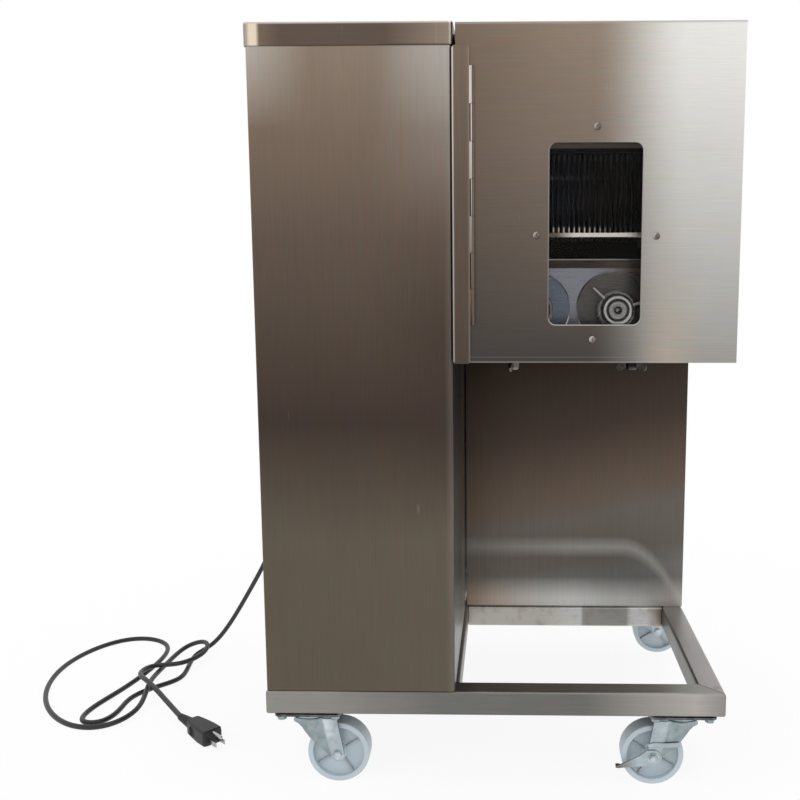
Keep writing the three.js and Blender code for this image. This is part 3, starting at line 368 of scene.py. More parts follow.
def feed(tree, socket, value):
    """Sets a socket to a number or a colour, or links another node's socket to it."""
    if isinstance(value, (int, float)):
        socket.default_value = value
    elif isinstance(value, tuple):
        socket.default_value = (*value[:3], 1.0)
    else:
        tree.links.new(value, socket)


def math_node(tree, operation, a, b=None, clamp=False):
    node = tree.nodes.new("ShaderNodeMath")
    node.operation = operation
    node.use_clamp = clamp
    feed(tree, node.inputs[0], a)
    if b is not None:
        feed(tree, node.inputs[1], b)
    return node.outputs[0]


def times(tree, *values):
    product = values[0]
    for value in values[1:]:
        product = math_node(tree, "MULTIPLY", product, value)
    return product


def plus(tree, a, b):
    return math_node(tree, "ADD", a, b)


def minus(tree, a, b):
    return math_node(tree, "SUBTRACT", a, b)


def span(tree, value, low, high, to_low=0.0, to_high=1.0):
    node = tree.nodes.new("ShaderNodeMapRange")
    tree.links.new(value, node.inputs["Value"])
    node.inputs["From Min"].default_value = low
    node.inputs["From Max"].default_value = high
    node.inputs["To Min"].default_value = to_low
    node.inputs["To Max"].default_value = to_high
    return node.outputs["Result"]


def eased(tree, value, low, high):
    """Like span, with soft ends."""
    socket = span(tree, value, low, high)
    socket.node.interpolation_type = "SMOOTHSTEP"
    return socket


def noise(tree, vector, scale, detail=3.0, rough=0.55):
    node = tree.nodes.new("ShaderNodeTexNoise")
    tree.links.new(vector, node.inputs["Vector"])
    node.inputs["Scale"].default_value = scale
    node.inputs["Detail"].default_value = detail
    node.inputs["Roughness"].default_value = rough
    return node.outputs["Fac"]


def stretched(tree, vector, scale):
    node = tree.nodes.new("ShaderNodeMapping")
    tree.links.new(vector, node.inputs["Vector"])
    node.inputs["Scale"].default_value = scale
    return node.outputs["Vector"]


def blended(tree, factor, a, b, mode="MIX"):
    node = tree.nodes.new("ShaderNodeMix")
    node.data_type = "RGBA"
    node.blend_type = mode
    for index, value in ((0, factor), (6, a), (7, b)):
        feed(tree, node.inputs[index], value)
    return node.outputs[2]


def swung(tree, colour, swing, contrast):
    """A colour made lighter and darker by a value round zero."""
    lift = plus(tree, times(tree, swing, contrast), 1.0)
    grey = tree.nodes.new("ShaderNodeCombineColor")
    for socket in grey.inputs[:3]:
        tree.links.new(lift, socket)
    return blended(tree, 1.0, colour, grey.outputs[0], "MULTIPLY")


def brushed_grain_group():
    """Fine parallel brushing: streaked colour, roughness and height, along the longest axis of Vector."""
    tree, given, wanted = node_group(
        "Brushed Grain",
        [
            ("Vector", "NodeSocketVector", None),
            ("Color", "NodeSocketColor", (0.5, 0.5, 0.5, 1)),
            ("Contrast", "NodeSocketFloat", 0.3),
            ("Roughness", "NodeSocketFloat", 0.32),
        ],
        [("Color", "NodeSocketColor"), ("Roughness", "NodeSocketFloat"), ("Height", "NodeSocketFloat")],
    )
    fine = noise(tree, given["Vector"], 1.0, 4.0, 0.65)
    broad = noise(tree, given["Vector"], 0.17, 2.0, 0.5)
    mixed = plus(tree, times(tree, fine, 0.8), times(tree, broad, 0.2))
    swing = minus(tree, mixed, 0.5)
    tinted = swung(tree, given["Color"], swing, given["Contrast"])
    heat = tree.nodes.new("ShaderNodeTexNoise")
    tree.links.new(given["Vector"], heat.inputs["Vector"])
    heat.inputs["Scale"].default_value = 0.45
    heat.inputs["Detail"].default_value = 2.0
    tinted = blended(tree, 0.16, tinted, heat.outputs["Color"], "OVERLAY")
    rough = plus(tree, given["Roughness"], times(tree, swing, 0.35))
    tree.links.new(tinted, wanted["Color"])
    tree.links.new(rough, wanted["Roughness"])
    tree.links.new(mixed, wanted["Height"])
    return tree


def handling_marks_group():
    """Cloudy wiping marks and a few thin scratches."""
    tree, given, wanted = node_group(
        "Handling Marks",
        [("Vector", "NodeSocketVector", None), ("Amount", "NodeSocketFloat", 0.5)],
        [("Smudge", "NodeSocketFloat"), ("Scratch", "NodeSocketFloat")],
    )
    cloud = noise(tree, given["Vector"], 7.0, 5.0, 0.6)
    smudge = times(tree, span(tree, cloud, 0.42, 0.72), given["Amount"])
    thin = noise(tree, stretched(tree, given["Vector"], (520.0, 520.0, 30.0)), 1.0, 1.0, 0.4)
    where = span(tree, noise(tree, given["Vector"], 11.0, 2.0), 0.58, 0.74)
    line = math_node(tree, "MULTIPLY", span(tree, thin, 0.73, 0.79), where, True)
    scratch = times(tree, line, given["Amount"])
    tree.links.new(smudge, wanted["Smudge"])
    tree.links.new(scratch, wanted["Scratch"])
    return tree


def worn_edge_group():
    """A mask of edges rubbed bright, broken up by noise."""
    tree, given, wanted = node_group(
        "Worn Edges",
        [("Vector", "NodeSocketVector", None), ("Amount", "NodeSocketFloat", 0.6)],
        [("Mask", "NodeSocketFloat")],
    )
    geometry = tree.nodes.new("ShaderNodeNewGeometry")
    edge = span(tree, geometry.outputs["Pointiness"], 0.53, 0.62)
    broken = span(tree, noise(tree, given["Vector"], 90.0, 4.0, 0.7), 0.35, 0.6)
    mask = math_node(tree, "MULTIPLY", times(tree, edge, broken), given["Amount"], True)
    tree.links.new(mask, wanted["Mask"])
    return tree


def speckle_group():
    """Fine grain of cast, moulded or painted surfaces."""
    tree, given, wanted = node_group(
        "Fine Speckle",
        [
            ("Vector", "NodeSocketVector", None),
            ("Color", "NodeSocketColor", (0.5, 0.5, 0.5, 1)),
            ("Scale", "NodeSocketFloat", 900.0),
            ("Contrast", "NodeSocketFloat", 0.2),
            ("Roughness", "NodeSocketFloat", 0.5),
        ],
        [("Color", "NodeSocketColor"), ("Roughness", "NodeSocketFloat"), ("Height", "NodeSocketFloat")],
    )
    grain = tree.nodes.new("ShaderNodeTexNoise")
    tree.links.new(given["Vector"], grain.inputs["Vector"])
    tree.links.new(given["Scale"], grain.inputs["Scale"])
    grain.inputs["Detail"].default_value = 3.0
    cloud = noise(tree, given["Vector"], 22.0, 4.0)
    mixed = plus(tree, times(tree, grain.outputs["Fac"], 0.5), times(tree, cloud, 0.5))
    swing = minus(tree, mixed, 0.5)
    tinted = swung(tree, given["Color"], swing, given["Contrast"])
    rough = plus(tree, given["Roughness"], times(tree, swing, 0.3))
    tree.links.new(tinted, wanted["Color"])
    tree.links.new(rough, wanted["Roughness"])
    tree.links.new(grain.outputs["Fac"], wanted["Height"])
    return tree


GROUP_BUILDERS = {
    "grain": brushed_grain_group,
    "marks": handling_marks_group,
    "edges": worn_edge_group,
    "speckle": speckle_group,
}
GROUPS = {}


def shared(name):
    if name not in GROUPS:
        GROUPS[name] = GROUP_BUILDERS[name]()
    return GROUPS[name]


def use_group(tree, name, **values):
    node = tree.nodes.new("ShaderNodeGroup")
    node.node_tree = shared(name)
    for label, value in values.items():
        feed(tree, node.inputs[label], value)
    return node


def blank_material(name, metallic, **constants):
    """A material with one Principled shader and the object's own coordinates."""
    material = bpy.data.materials.new(name)
    material.use_nodes = True
    tree = material.node_tree
    tree.nodes.clear()
    shader = tree.nodes.new("ShaderNodeBsdfPrincipled")
    shader.inputs["Metallic"].default_value = metallic
    for label, value in constants.items():
        shader.inputs[label.replace("_", " ")].default_value = value
    output = tree.nodes.new("ShaderNodeOutputMaterial")
    tree.links.new(shader.outputs[0], output.inputs["Surface"])
    place = tree.nodes.new("ShaderNodeTexCoord").outputs["Object"]
    return material, tree, shader, place


def ramp(tree, value, low, high, stops):
    """Colours along a span of the value, from stops of (place, colour) in the value's own unit."""
    node = tree.nodes.new("ShaderNodeValToRGB")
    tree.links.new(span(tree, value, low, high), node.inputs["Fac"])
    points = node.color_ramp.elements
    while len(points) < len(stops):
        points.new(0.5)
    for point, (place, colour) in zip(points, sorted(stops)):
        point.position = (place - low) / (high - low)
        point.color = (*colour, 1.0)
    return node.outputs["Color"]


def apart(tree, vector):
    node = tree.nodes.new("ShaderNodeSeparateXYZ")
    tree.links.new(vector, node.inputs[0])
    return node.outputs


def surfaced(tree, shader, colour, rough, height, strength, distance):
    """Gives a shader its colour and roughness, and a bump of the height."""
    tree.links.new(colour, shader.inputs["Base Color"])
    tree.links.new(rough, shader.inputs["Roughness"])
    bump = tree.nodes.new("ShaderNodeBump")
    bump.inputs["Strength"].default_value = strength
    bump.inputs["Distance"].default_value = distance
    tree.links.new(height, bump.inputs["Height"])
    tree.links.new(bump.outputs[0], shader.inputs["Normal"])


def brushed_metal(name, colour, direction, contrast, rough, marks):
    """Brushed stainless. colour is a colour, or a function of the tree and place that gives a socket."""
    material, tree, shader, place = blank_material(name, 1.0)
    lengths = {"X": (30.0, 2200.0, 2200.0), "Y": (2200.0, 30.0, 2200.0), "Z": (2200.0, 2200.0, 30.0)}
    base = colour(tree, place) if callable(colour) else colour
    grain = use_group(tree, "grain", Vector=stretched(tree, place, lengths[direction]), Color=base,
                      Contrast=contrast, Roughness=rough)
    wear = use_group(tree, "marks", Vector=place, Amount=marks)
    dulled = blended(tree, times(tree, wear.outputs["Smudge"], 0.16), grain.outputs["Color"],
                     (0.55, 0.53, 0.5), "MULTIPLY")
    lit = blended(tree, times(tree, wear.outputs["Scratch"], 0.35), dulled, (0.60, 0.62, 0.68))
    rougher = plus(tree, grain.outputs["Roughness"], times(tree, wear.outputs["Smudge"], 0.12))
    surfaced(tree, shader, lit, rougher, grain.outputs["Height"], 0.12, 0.0002)
    return material


# Tones that polished steel takes from its surroundings
TONES = {
    "ink": (0.012, 0.012, 0.016),
    "soot": (0.02, 0.014, 0.01),
    "night": (0.045, 0.05, 0.075),
    "graphite": (0.055, 0.05, 0.047),
    "umber": (0.055, 0.04, 0.033),
    "cocoa": (0.12, 0.09, 0.07),
    "olive": (0.12, 0.10, 0.075),
    "taupe": (0.13, 0.115, 0.10),
    "slate": (0.16, 0.157, 0.148),
    "hazel": (0.19, 0.14, 0.105),
    "fawn": (0.28, 0.22, 0.17),
    "ash": (0.28, 0.27, 0.25),
    "steel": (0.36, 0.34, 0.33),
    "lilac": (0.31, 0.305, 0.325),
    "sand": (0.42, 0.36, 0.30),
    "pewter": (0.42, 0.40, 0.37),
    "mist": (0.52, 0.515, 0.50),
    "silver": (0.62, 0.58, 0.52),
    "straw": (0.80, 0.69, 0.53),
    "cream": (0.80, 0.71, 0.65),
    "pale": (0.77, 0.76, 0.73),
    "glow": (1.0, 0.90, 0.82),
}


def shades(tree, value, *stops):
    """A gradient of named tones along a value, from (place, tone) pairs."""
    places = [place for place, _ in stops]
    return ramp(tree, value, min(places), max(places), [(place, TONES[tone]) for place, tone in stops])


def toned(tree, factor, a, b):
    """Blends two tones or colour sockets."""
    a, b = (TONES[tone] if isinstance(tone, str) else tone for tone in (a, b))
    return blended(tree, factor, a, b)


def away_from(tree, value, middle):
    return math_node(tree, "ABSOLUTE", minus(tree, value, middle))


def length_of(tree, a, b):
    return math_node(tree, "SQRT", plus(tree, times(tree, a, a), times(tree, b, b)))


def normal_of(tree):
    return apart(tree, tree.nodes.new("ShaderNodeNewGeometry").outputs["Normal"])


def facing(tree, axis, low, high):
    """A mask of the faces that point along an axis, 0 for x or 2 for z."""
    return span(tree, normal_of(tree)[axis], low, high)


def upper_side(tree):
    return facing(tree, 2, 0.35, 0.9)


def from_axis(tree, x, z):
    """The distance from the nearer of the two lower rollers' axes."""
    aside = math_node(tree, "MINIMUM", *(away_from(tree, x, axis * MM) for axis in LOWER_AXES_X))
    return length_of(tree, aside, away_from(tree, z, LOWER_Z * MM))


def right_wall(tree, x):
    """The end walls of the cabinet and its lid that look at the chamber, which are painted in shade."""
    return times(tree, facing(tree, 0, 0.5, 0.8), span(tree, x, -0.060, -0.055))


def cabinet_tone(tree, place):
    """Painted reflections and shade: bright at the top corners, darkest at two fifths of the height, with a
    lighter right edge.
    """
    x, y, z = apart(tree, place)
    field = shades(tree, z, (0.89, "fawn"), (0.77, "hazel"), (0.66, "cocoa"), (0.45, "umber"),
                   (0.31, "olive"), (0.12, "olive"))
    # Painted highlights at the top corners, a painted glint high on the right and painted shade below it
    corner = times(tree, span(tree, away_from(tree, x, -0.165), 0.04, 0.11), span(tree, z, 0.78, 0.90), 0.85)
    field = toned(tree, corner, field, "silver")
    glance = times(tree, span(tree, x, -0.14, -0.06), span(tree, z, 0.68, 0.84), 0.5)
    field = toned(tree, glance, field, "steel")
    dusk = times(tree, span(tree, x, -0.15, -0.06), span(tree, z, 0.68, 0.56), span(tree, z, 0.36, 0.44), 0.5)
    field = toned(tree, dusk, field, "umber")
    # Painted highlights along the right edge
    field = toned(tree, span(tree, x, -0.0575, -0.0505, 0.0, 0.1), field, "pewter")
    field = toned(tree, span(tree, x, -0.0492, -0.0480, 0.0, 0.2), field, "pewter")
    # The end wall that looks at the chamber is painted in shade, with a lighter band in its middle
    wall = shades(tree, z, (0.46, "graphite"), (0.35, "taupe"), (0.25, "taupe"), (0.20, "slate"))
    line = shades(tree, z, (0.46, "taupe"), (0.30, "hazel"), (0.20, "ash"))
    along = times(tree, span(tree, y, -0.060, -0.030), span(tree, y, 0.055, 0.030))
    return toned(tree, right_wall(tree, x), field, toned(tree, along, wall, line))


def lid_tone(tree, place):
    """Painted light and shade: a glint on the rounded left corner, a thin painted highlight line near the
    right end, a painted shadow line low on the right half, a painted highlight along the top and a dark end
    wall.
    """
    x, _, z = apart(tree, place)
    band = shades(tree, x, (-0.276, "fawn"), (-0.271, "pewter"), (-0.268, "straw"), (-0.261, "straw"),
                  (-0.2575, "hazel"), (-0.235, "cocoa"), (-0.12, "cocoa"), (-0.05, "fawn"),
                  (-0.046, "pewter"))
    # A thin painted highlight line near the right end, a painted shadow line under the right half and a
    # painted highlight along the top
    band = toned(tree, span(tree, away_from(tree, x, -0.0636), 0.0012, 0.0004), band, "fawn")
    lip = times(tree, span(tree, x, -0.130, -0.110, 0.0, 0.6), span(tree, z, 0.8700, 0.8685))
    band = toned(tree, lip, band, "umber")
    band = toned(tree, span(tree, z, 0.8902, 0.8920), band, "silver")
    return toned(tree, right_wall(tree, x), band, "umber")


def strip_tone(tree, place):
    """Painted light and shade on the hinge leaf: its flat face darker towards the bottom, a lighter right
    edge and the fold that catches the light, both painted highlights.
    """
    x, _, z = apart(tree, place)
    flat = shades(tree, z, (0.87, "hazel"), (0.70, "cocoa"), (0.40, "umber"))
    flat = toned(tree, span(tree, x, -0.0305, -0.0285, 0.0, 0.2), flat, "pewter")
    fold = shades(tree, z, (0.87, "silver"), (0.70, "pewter"), (0.52, "ash"))
    return toned(tree, span(tree, x, -0.0448, -0.0460), flat, fold)


def barrel_tone(tree, place):
    """A line of light down the hinge barrel that fades out below."""
    x, _, z = apart(tree, place)
    line = shades(tree, z, (0.85, "cream"), (0.78, "cream"), (0.70, "pewter"), (0.61, "hazel"),
                  (0.56, "umber"))
    return toned(tree, span(tree, away_from(tree, x, -0.0238), 0.0010, 0.0018), "cocoa", line)


def window_rim(tree, x, z):
    """A thin painted highlight round the window's opening that shows at its lower and left edges."""
    left, right, bottom, top = (edge * MM for edge in WINDOW)
    corner = WINDOW_CORNER * MM
    beyond = []
    for value, low, high in ((x, left, right), (z, bottom, top)):
        reach = away_from(tree, value, (low + high) / 2)
        beyond.append(math_node(tree, "MAXIMUM", minus(tree, reach, (high - low) / 2 - corner), 0.0))
    line = span(tree, length_of(tree, *beyond), corner + 0.0014, corner + 0.0009)
    lit = math_node(tree, "MAXIMUM", span(tree, z, 0.573, 0.565), span(tree, x, 0.067, 0.062, 0.0, 0.35))
    return times(tree, line, lit)


def door_tone(tree, place):
    """Painted reflections: brown on the left and bright on the right, both darker towards the bottom."""
    x, _, z = apart(tree, place)
    left = toned(tree, span(tree, z, 0.51, 0.885), "graphite",
                 shades(tree, x, (-0.043, "hazel"), (0.10, "fawn")))
    right = shades(tree, z, (0.49, "ash"), (0.885, "pale"))
    flat = toned(tree, eased(tree, x, 0.105, 0.215), left, right)
    # A painted warm reflection low on the right
    warm = times(tree, span(tree, away_from(tree, x, 0.195), 0.04, 0.0), span(tree, z, 0.70, 0.53), 0.7)
    flat = toned(tree, warm, flat, "sand")
    # Painted highlights on the bottom fold, on a fine line above it and on the top fold
    flat = toned(tree, span(tree, z, 0.5222, 0.5214, 0.0, 0.3), flat, "pewter")
    flat = toned(tree, span(tree, away_from(tree, z, 0.5265), 0.0009, 0.0004, 0.0, 0.1), flat, "pewter")
    flat = toned(tree, span(tree, z, 0.8890, 0.8904, 0.0, 0.6), flat, "pewter")
    return toned(tree, window_rim(tree, x, z), flat, "pewter")


def panel_tone(tree, place):
    """Painted reflections and shade: the frame mirrored low on the panel as an arched band and a bright foot,
    under a dark upper part.
    """
    x, _, z = apart(tree, place)
    beyond = math_node(tree, "MAXIMUM", minus(tree, x, 0.184), 0.0)
    height = plus(tree, z, times(tree, beyond, beyond, 10.7))
    lean = minus(tree, z, times(tree, x, 0.2))
    field = shades(tree, lean, (0.52, "soot"), (0.37, "umber"), (0.27, "cocoa"), (0.235, "taupe"),
                   (0.17, "taupe"), (0.14, "slate"))
    band = times(tree, span(tree, away_from(tree, height, 0.216), 0.016, 0.0),
                 span(tree, x, -0.06, 0.13, 0.3, 1.0))
    field = toned(tree, band, field, "ash")
    foot = shades(tree, x, (-0.03, "fawn"), (0.05, "pewter"), (0.12, "mist"), (0.262, "pewter"))
    return toned(tree, span(tree, z, 0.170, 0.138), field, foot)


def rail_tone(tree, place):
    # Painted reflections along the rail, with the upper faces painted lighter, over heat stains
    x = apart(tree, place)["X"]
    face = shades(tree, x, (-0.275, "ash"), (-0.20, "ash"), (-0.07, "slate"), (0.11, "slate"),
                  (0.24, "pewter"), (0.275, "ash"))
    top = shades(tree, x, (-0.275, "pewter"), (-0.20, "pewter"), (-0.16, "slate"), (-0.06, "slate"),
                 (-0.02, "pewter"), (0.17, "pewter"), (0.26, "ash"))
    return stained(tree, place, toned(tree, upper_side(tree), face, top))


def side_rail_tone(tree, place):
    # Upper faces painted lighter than the sides, over heat stains
    return stained(tree, place, toned(tree, upper_side(tree), "slate", "steel"))


def cross_rail_tone(tree, place):
    """A bright painted reflection, with the dull mirror image of the right rear caster's corner, and small
    stains.
    """
    x = apart(tree, place)["X"]
    face = shades(tree, x, (-0.045, "pewter"), (0.07, "pewter"), (0.124, "mist"), (0.128, "ash"),
                  (0.192, "ash"), (0.198, "mist"), (0.222, "mist"), (0.245, "fawn"))
    blotch = span(tree, noise(tree, place, 70.0, 5.0), 0.5, 0.72, 0.0, 0.35)
    return toned(tree, blotch, face, "hazel")


def comb_tone(tree, place):
    """Painted light and shade: a bright lower bar with finger roots that catch light on the left, near-black
    fingers, and the rear comb darker.
    """
    x, y, z = apart(tree, place)
    fingers = shades(tree, x, (0.085, "ink"), (0.13, "soot"))
    fingers = toned(tree, span(tree, away_from(tree, z, 0.752), 0.004, 0.0, 0.0, 0.9), fingers, "cocoa")
    roots = shades(tree, x, (0.105, "straw"), (0.14, "umber"))
    field = toned(tree, span(tree, z, 0.6722, 0.6745), roots, fingers)
    bar = shades(tree, x, (0.072, "hazel"), (0.092, "glow"))
    field = toned(tree, span(tree, z, 0.6680, 0.6672), field, bar)
    return toned(tree, span(tree, y, -0.165, -0.145), field, "umber")


def upper_blade_tone(tree, place):
    # The front of the discs is painted in shade, bluish on the left and brown on the right, with plain steel
    # further back
    x, y, _ = apart(tree, place)
    return toned(tree, span(tree, y, -0.150, -0.115), shades(tree, x, (0.085, "night"), (0.110, "cocoa")),
                 "steel")


def lower_blade_tone(tree, place):
    """Painted light and shade on the nut's machined rings and a painted highlight on the tommy pins in front,
    plain steel behind.
    """
    x, y, z = apart(tree, place)
    reach = from_axis(tree, x, z)
    rings = shades(tree, reach, (0.0, "slate"), (0.0014, "ash"), (0.0022, "umber"), (0.0044, "umber"),
                   (0.0052, "ash"), (0.0096, "steel"), (0.0104, "umber"), (0.0128, "umber"),
                   (0.0136, "silver"), (0.0162, "mist"), (0.0168, "umber"), (0.0186, "umber"),
                   (0.0193, "pewter"), (0.0206, "cocoa"), (0.0221, "steel"), (0.0230, "slate"))
    tommy = times(tree, span(tree, reach, 0.0193, 0.0197), span(tree, y, -0.2070, -0.2078))
    rings = toned(tree, tommy, rings, "mist")
    return toned(tree, span(tree, y, -0.195, -0.203), "steel", rings)


def wall_plate_tone(tree, place):
    """Painted reflections: lilac on the left and brown on the right, under a band of painted shade and a
    painted highlight on the top edge.
    """
    x, _, z = apart(tree, place)
    rightward = span(tree, x, 0.110, 0.168)
    face = toned(tree, rightward, "lilac", "hazel")
    band = toned(tree, rightward, "umber", "cocoa")
    field = toned(tree, span(tree, z, 0.6256, 0.6268), face, band)
    return toned(tree, span(tree, z, 0.6356, 0.6362), field, "pewter")


def flange_tone(tree, place):
    # Painted reflections: the left flange bluish, the right one darker, and a painted highlight round the rim
    x, _, z = apart(tree, place)
    face = toned(tree, span(tree, x, 0.088, 0.097), (0.165, 0.182, 0.22), "taupe")
    return toned(tree, span(tree, from_axis(tree, x, z), 0.0424, 0.0430), face, (0.80, 0.80, 0.82))


def wing_tone(tree, place):
    # Painted shade: the right wing screw is darker than the left
    x = apart(tree, place)["X"]
    return shades(tree, x, (0.080, "taupe"), (0.120, "soot"))


def pedal_tone(tree, place):
    """Painted shade: the lever darkens towards its foot tab."""
    x = apart(tree, place)["X"]
    return toned(tree, span(tree, x, 0.172, 0.152), (0.46, 0.53, 0.57), "taupe")


def door_screw_tone(tree, place):
    """Lit from the upper left, dark on the other side."""
    normal = normal_of(tree)
    lean = minus(tree, normal[0], times(tree, normal[2], 0.6))
    return shades(tree, lean, (-0.7, "silver"), (-0.3, "pewter"), (-0.05, "hazel"), (0.2, "cocoa"))


def stained(tree, place, base):
    """Brown heat stains on the upper side, close to the welded corners."""
    x, y, _ = apart(tree, place)
    corner_x = span(tree, math_node(tree, "ABSOLUTE", x), 0.225, 0.250)
    corner_y = span(tree, math_node(tree, "ABSOLUTE", y), 0.195, 0.220)
    stain = span(tree, noise(tree, place, 45.0, 4.0), 0.5, 0.68, 0.0, 0.5)
    return toned(tree, times(tree, corner_x, corner_y, stain, upper_side(tree)), base, "hazel")


def zinc_metal(name, colour):
    """Bright zinc plate: a cool grey with cloudy lighter blooms."""
    material, tree, shader, place = blank_material(name, 1.0)
    bloom = span(tree, noise(tree, place, 60.0, 5.0, 0.6), 0.35, 0.7)
    base = colour(tree, place) if callable(colour) else colour
    base = blended(tree, bloom, blended(tree, 1.0, base, (0.72, 0.72, 0.72), "MULTIPLY"), base)
    fine = use_group(tree, "speckle", Vector=place, Color=base, Scale=1400.0, Contrast=0.3, Roughness=0.3)
    edge = use_group(tree, "edges", Vector=place, Amount=0.5)
    worn = blended(tree, edge.outputs["Mask"], fine.outputs["Color"], (0.9, 0.92, 0.93))
    surfaced(tree, shader, worn, fine.outputs["Roughness"], fine.outputs["Height"], 0.08, 0.0002)
    return material


def moulded(name, colour, rough, scale, contrast, height, dust, coat=0.0):
    """Rubber, nylon or moulded plastic with a fine matt grain and a trace of dust."""
    material, tree, shader, place = blank_material(name, 0.0, Coat_Weight=coat)
    fine = use_group(tree, "speckle", Vector=place, Color=colour, Scale=scale, Contrast=contrast,
                     Roughness=rough)
    marks = use_group(tree, "marks", Vector=place, Amount=dust)
    dusty = blended(tree, times(tree, marks.outputs["Smudge"], 0.35), fine.outputs["Color"],
                    (0.32, 0.31, 0.29))
    surfaced(tree, shader, dusty, fine.outputs["Roughness"], fine.outputs["Height"], height, 0.0003)
    return material


def enamel(name, colour):
    """Thick machine enamel over castings, chipped bright at the edges."""
    material, tree, shader, place = blank_material(name, 0.0)
    fine = use_group(tree, "speckle", Vector=place, Color=colour, Scale=260.0, Contrast=0.3, Roughness=0.42)
    edge = use_group(tree, "edges", Vector=place, Amount=0.8)
    worn = blended(tree, edge.outputs["Mask"], fine.outputs["Color"], (0.55, 0.55, 0.54))
    surfaced(tree, shader, worn, fine.outputs["Roughness"], fine.outputs["Height"], 0.25, 0.0004)
    return material


def clear_acrylic(name, colour):
    """Clear acrylic, lightly smoked, with faint wiping marks."""
    material, tree, shader, place = blank_material(name, 0.0, Transmission_Weight=1.0, IOR=1.12)
    shader.inputs["Specular IOR Level"].default_value = 0.06
    marks = use_group(tree, "marks", Vector=place, Amount=0.6)
    tint = blended(tree, marks.outputs["Smudge"], colour, (0.70, 0.70, 0.70))
    tree.links.new(tint, shader.inputs["Base Color"])
    rough = plus(tree, times(tree, marks.outputs["Smudge"], 0.10), 0.03)
    tree.links.new(rough, shader.inputs["Roughness"])
    return material


# Rows with a tone function paint reflections, highlights and shade into the colour; the housing takes the
# cabinet's
BRUSHED = {
    "cabinet": ("Cabinet Sheet", cabinet_tone, "Z", 0.4, 0.36, 0.5),
    "lid": ("Lid Sheet", lid_tone, "X", 0.2, 0.34, 0.3),
    "door": ("Door Sheet", door_tone, "X", 0.32, 0.36, 0.55),
    "panel": ("Panel Sheet", panel_tone, "Z", 0.45, 0.36, 0.4),
    "housing": ("Housing Sheet", cabinet_tone, "Z", 0.5, 0.36, 0.5),
    "chamber": ("Chamber Sheet", (0.34, 0.31, 0.28), "Z", 0.45, 0.34, 0.5),
    "rail": ("Rail Tube", rail_tone, "X", 0.45, 0.36, 0.7),
    "side_rail": ("Side Rail Tube", side_rail_tone, "Y", 0.45, 0.36, 0.7),
    "cross_rail": ("Cross Rail Tube", cross_rail_tone, "X", 0.45, 0.36, 0.7),
    "strip": ("Hinge Strip", strip_tone, "Z", 0.35, 0.34, 0.3),
    "barrel": ("Hinge Barrel", barrel_tone, "Z", 0.2, 0.3, 0.2),
    "plate": ("Machined Plate", (0.42, 0.41, 0.40), "X", 0.3, 0.3, 0.4),
    "turned": ("Turned Steel", (0.46, 0.455, 0.45), "X", 0.25, 0.25, 0.3),
    "upper_blade": ("Upper Blade Steel", upper_blade_tone, "Z", 0.3, 0.22, 0.3),
    "lower_blade": ("Lower Blade Steel", lower_blade_tone, "X", 0.25, 0.24, 0.1),
    "upper_comb": ("Upper Comb Steel", comb_tone, "Z", 0.2, 0.3, 0.1),
    "lower_comb": ("Lower Comb Steel", (0.30, 0.28, 0.27), "Z", 0.3, 0.3, 0.3),
    "wall_plate": ("Front Wall Plate", wall_plate_tone, "X", 0.2, 0.3, 0.2),
    "flange": ("Bearing Flange", flange_tone, "X", 0.12, 0.3, 0.05),
    "deck": ("Deck Plate", (0.30, 0.29, 0.28), "X", 0.3, 0.45, 0.4),
}
ZINC_PLATED = {
    "door_screw": ("Door Screw Zinc", door_screw_tone),
    "screw": ("Screw Zinc", (0.40, 0.38, 0.37)),
    "wing": ("Wing Zinc", wing_tone),
    "zinc": ("Bright Zinc", (0.46, 0.53, 0.57)),
    "pedal": ("Pedal Zinc", pedal_tone),
    # The same zinc painted darker as shade, for the swivel race and the fork
    "zinc_shade": ("Zinc Painted In Shade", (0.29, 0.36, 0.38)),
    # The same zinc painted near black as the rail's shadow over the caster top plates
    "zinc_dark": ("Top Plate Zinc", (0.055, 0.06, 0.06)),
}
MOULDED = {
    # The wheel's nylon painted darker on the ribs as their shade
    "rib": ("Shaded Rib Nylon", (0.34, 0.37, 0.40), 0.5, 700.0, 0.2, 0.1, 0.4),
    "wheel": ("Wheel Nylon", "wheel_colour", 0.42, 700.0, 0.22, 0.1, 0.6),
    "lead": ("Lead Sheath", "lead_colour", 0.42, 1600.0, 0.3, 0.1, 0.15),
    "moulding": ("Black Moulding", "lead_colour", 0.5, 1300.0, 0.3, 0.2, 0.12),
    "belt": ("Belt Rubber", (0.02, 0.02, 0.021), 0.75, 800.0, 0.4, 0.3, 0.5),
    "green": ("Green Button", (0.02, 0.30, 0.07), 0.3, 1200.0, 0.15, 0.05, 0.1, 0.4),
    "red": ("Red Button", (0.45, 0.015, 0.012), 0.3, 1200.0, 0.15, 0.05, 0.1, 0.4),
}
ENAMELLED = {"enamel": ("Machine Enamel", (0.20, 0.235, 0.26))}
CLEAR = {"pane": ("Window Acrylic", (0.76, 0.78, 0.80))}
LOOKS = (
    (brushed_metal, BRUSHED),
    (zinc_metal, ZINC_PLATED),
    (moulded, MOULDED),
    (enamel, ENAMELLED),
    (clear_acrylic, CLEAR),
)
FINISHES = {}


def finish(name):
    """The object's finishes, each made when first asked for."""
    if name not in FINISHES:
        build, label, colour, *rest = next((build, *rows[name]) for build, rows in LOOKS if name in rows)
        if isinstance(colour, str):
            colour = tuple(getattr(bpy.context.scene.slicer_finish, colour))
        FINISHES[name] = build(label, colour, *rest)
    return FINISHES[name]


# Stage


class SlicerStage(Operator):
    """Set the camera, the soft light and the pale floor"""

    bl_idname = "slicer.stage"
    bl_label = "Stage"

    def execute(self, context):
        for old in [o for o in bpy.data.objects if o.type in {"LIGHT", "CAMERA"}]:
            bpy.data.objects.remove(old)
        add_camera()
        add_world()
        add_lights()
        add_floor()
        return {"FINISHED"}


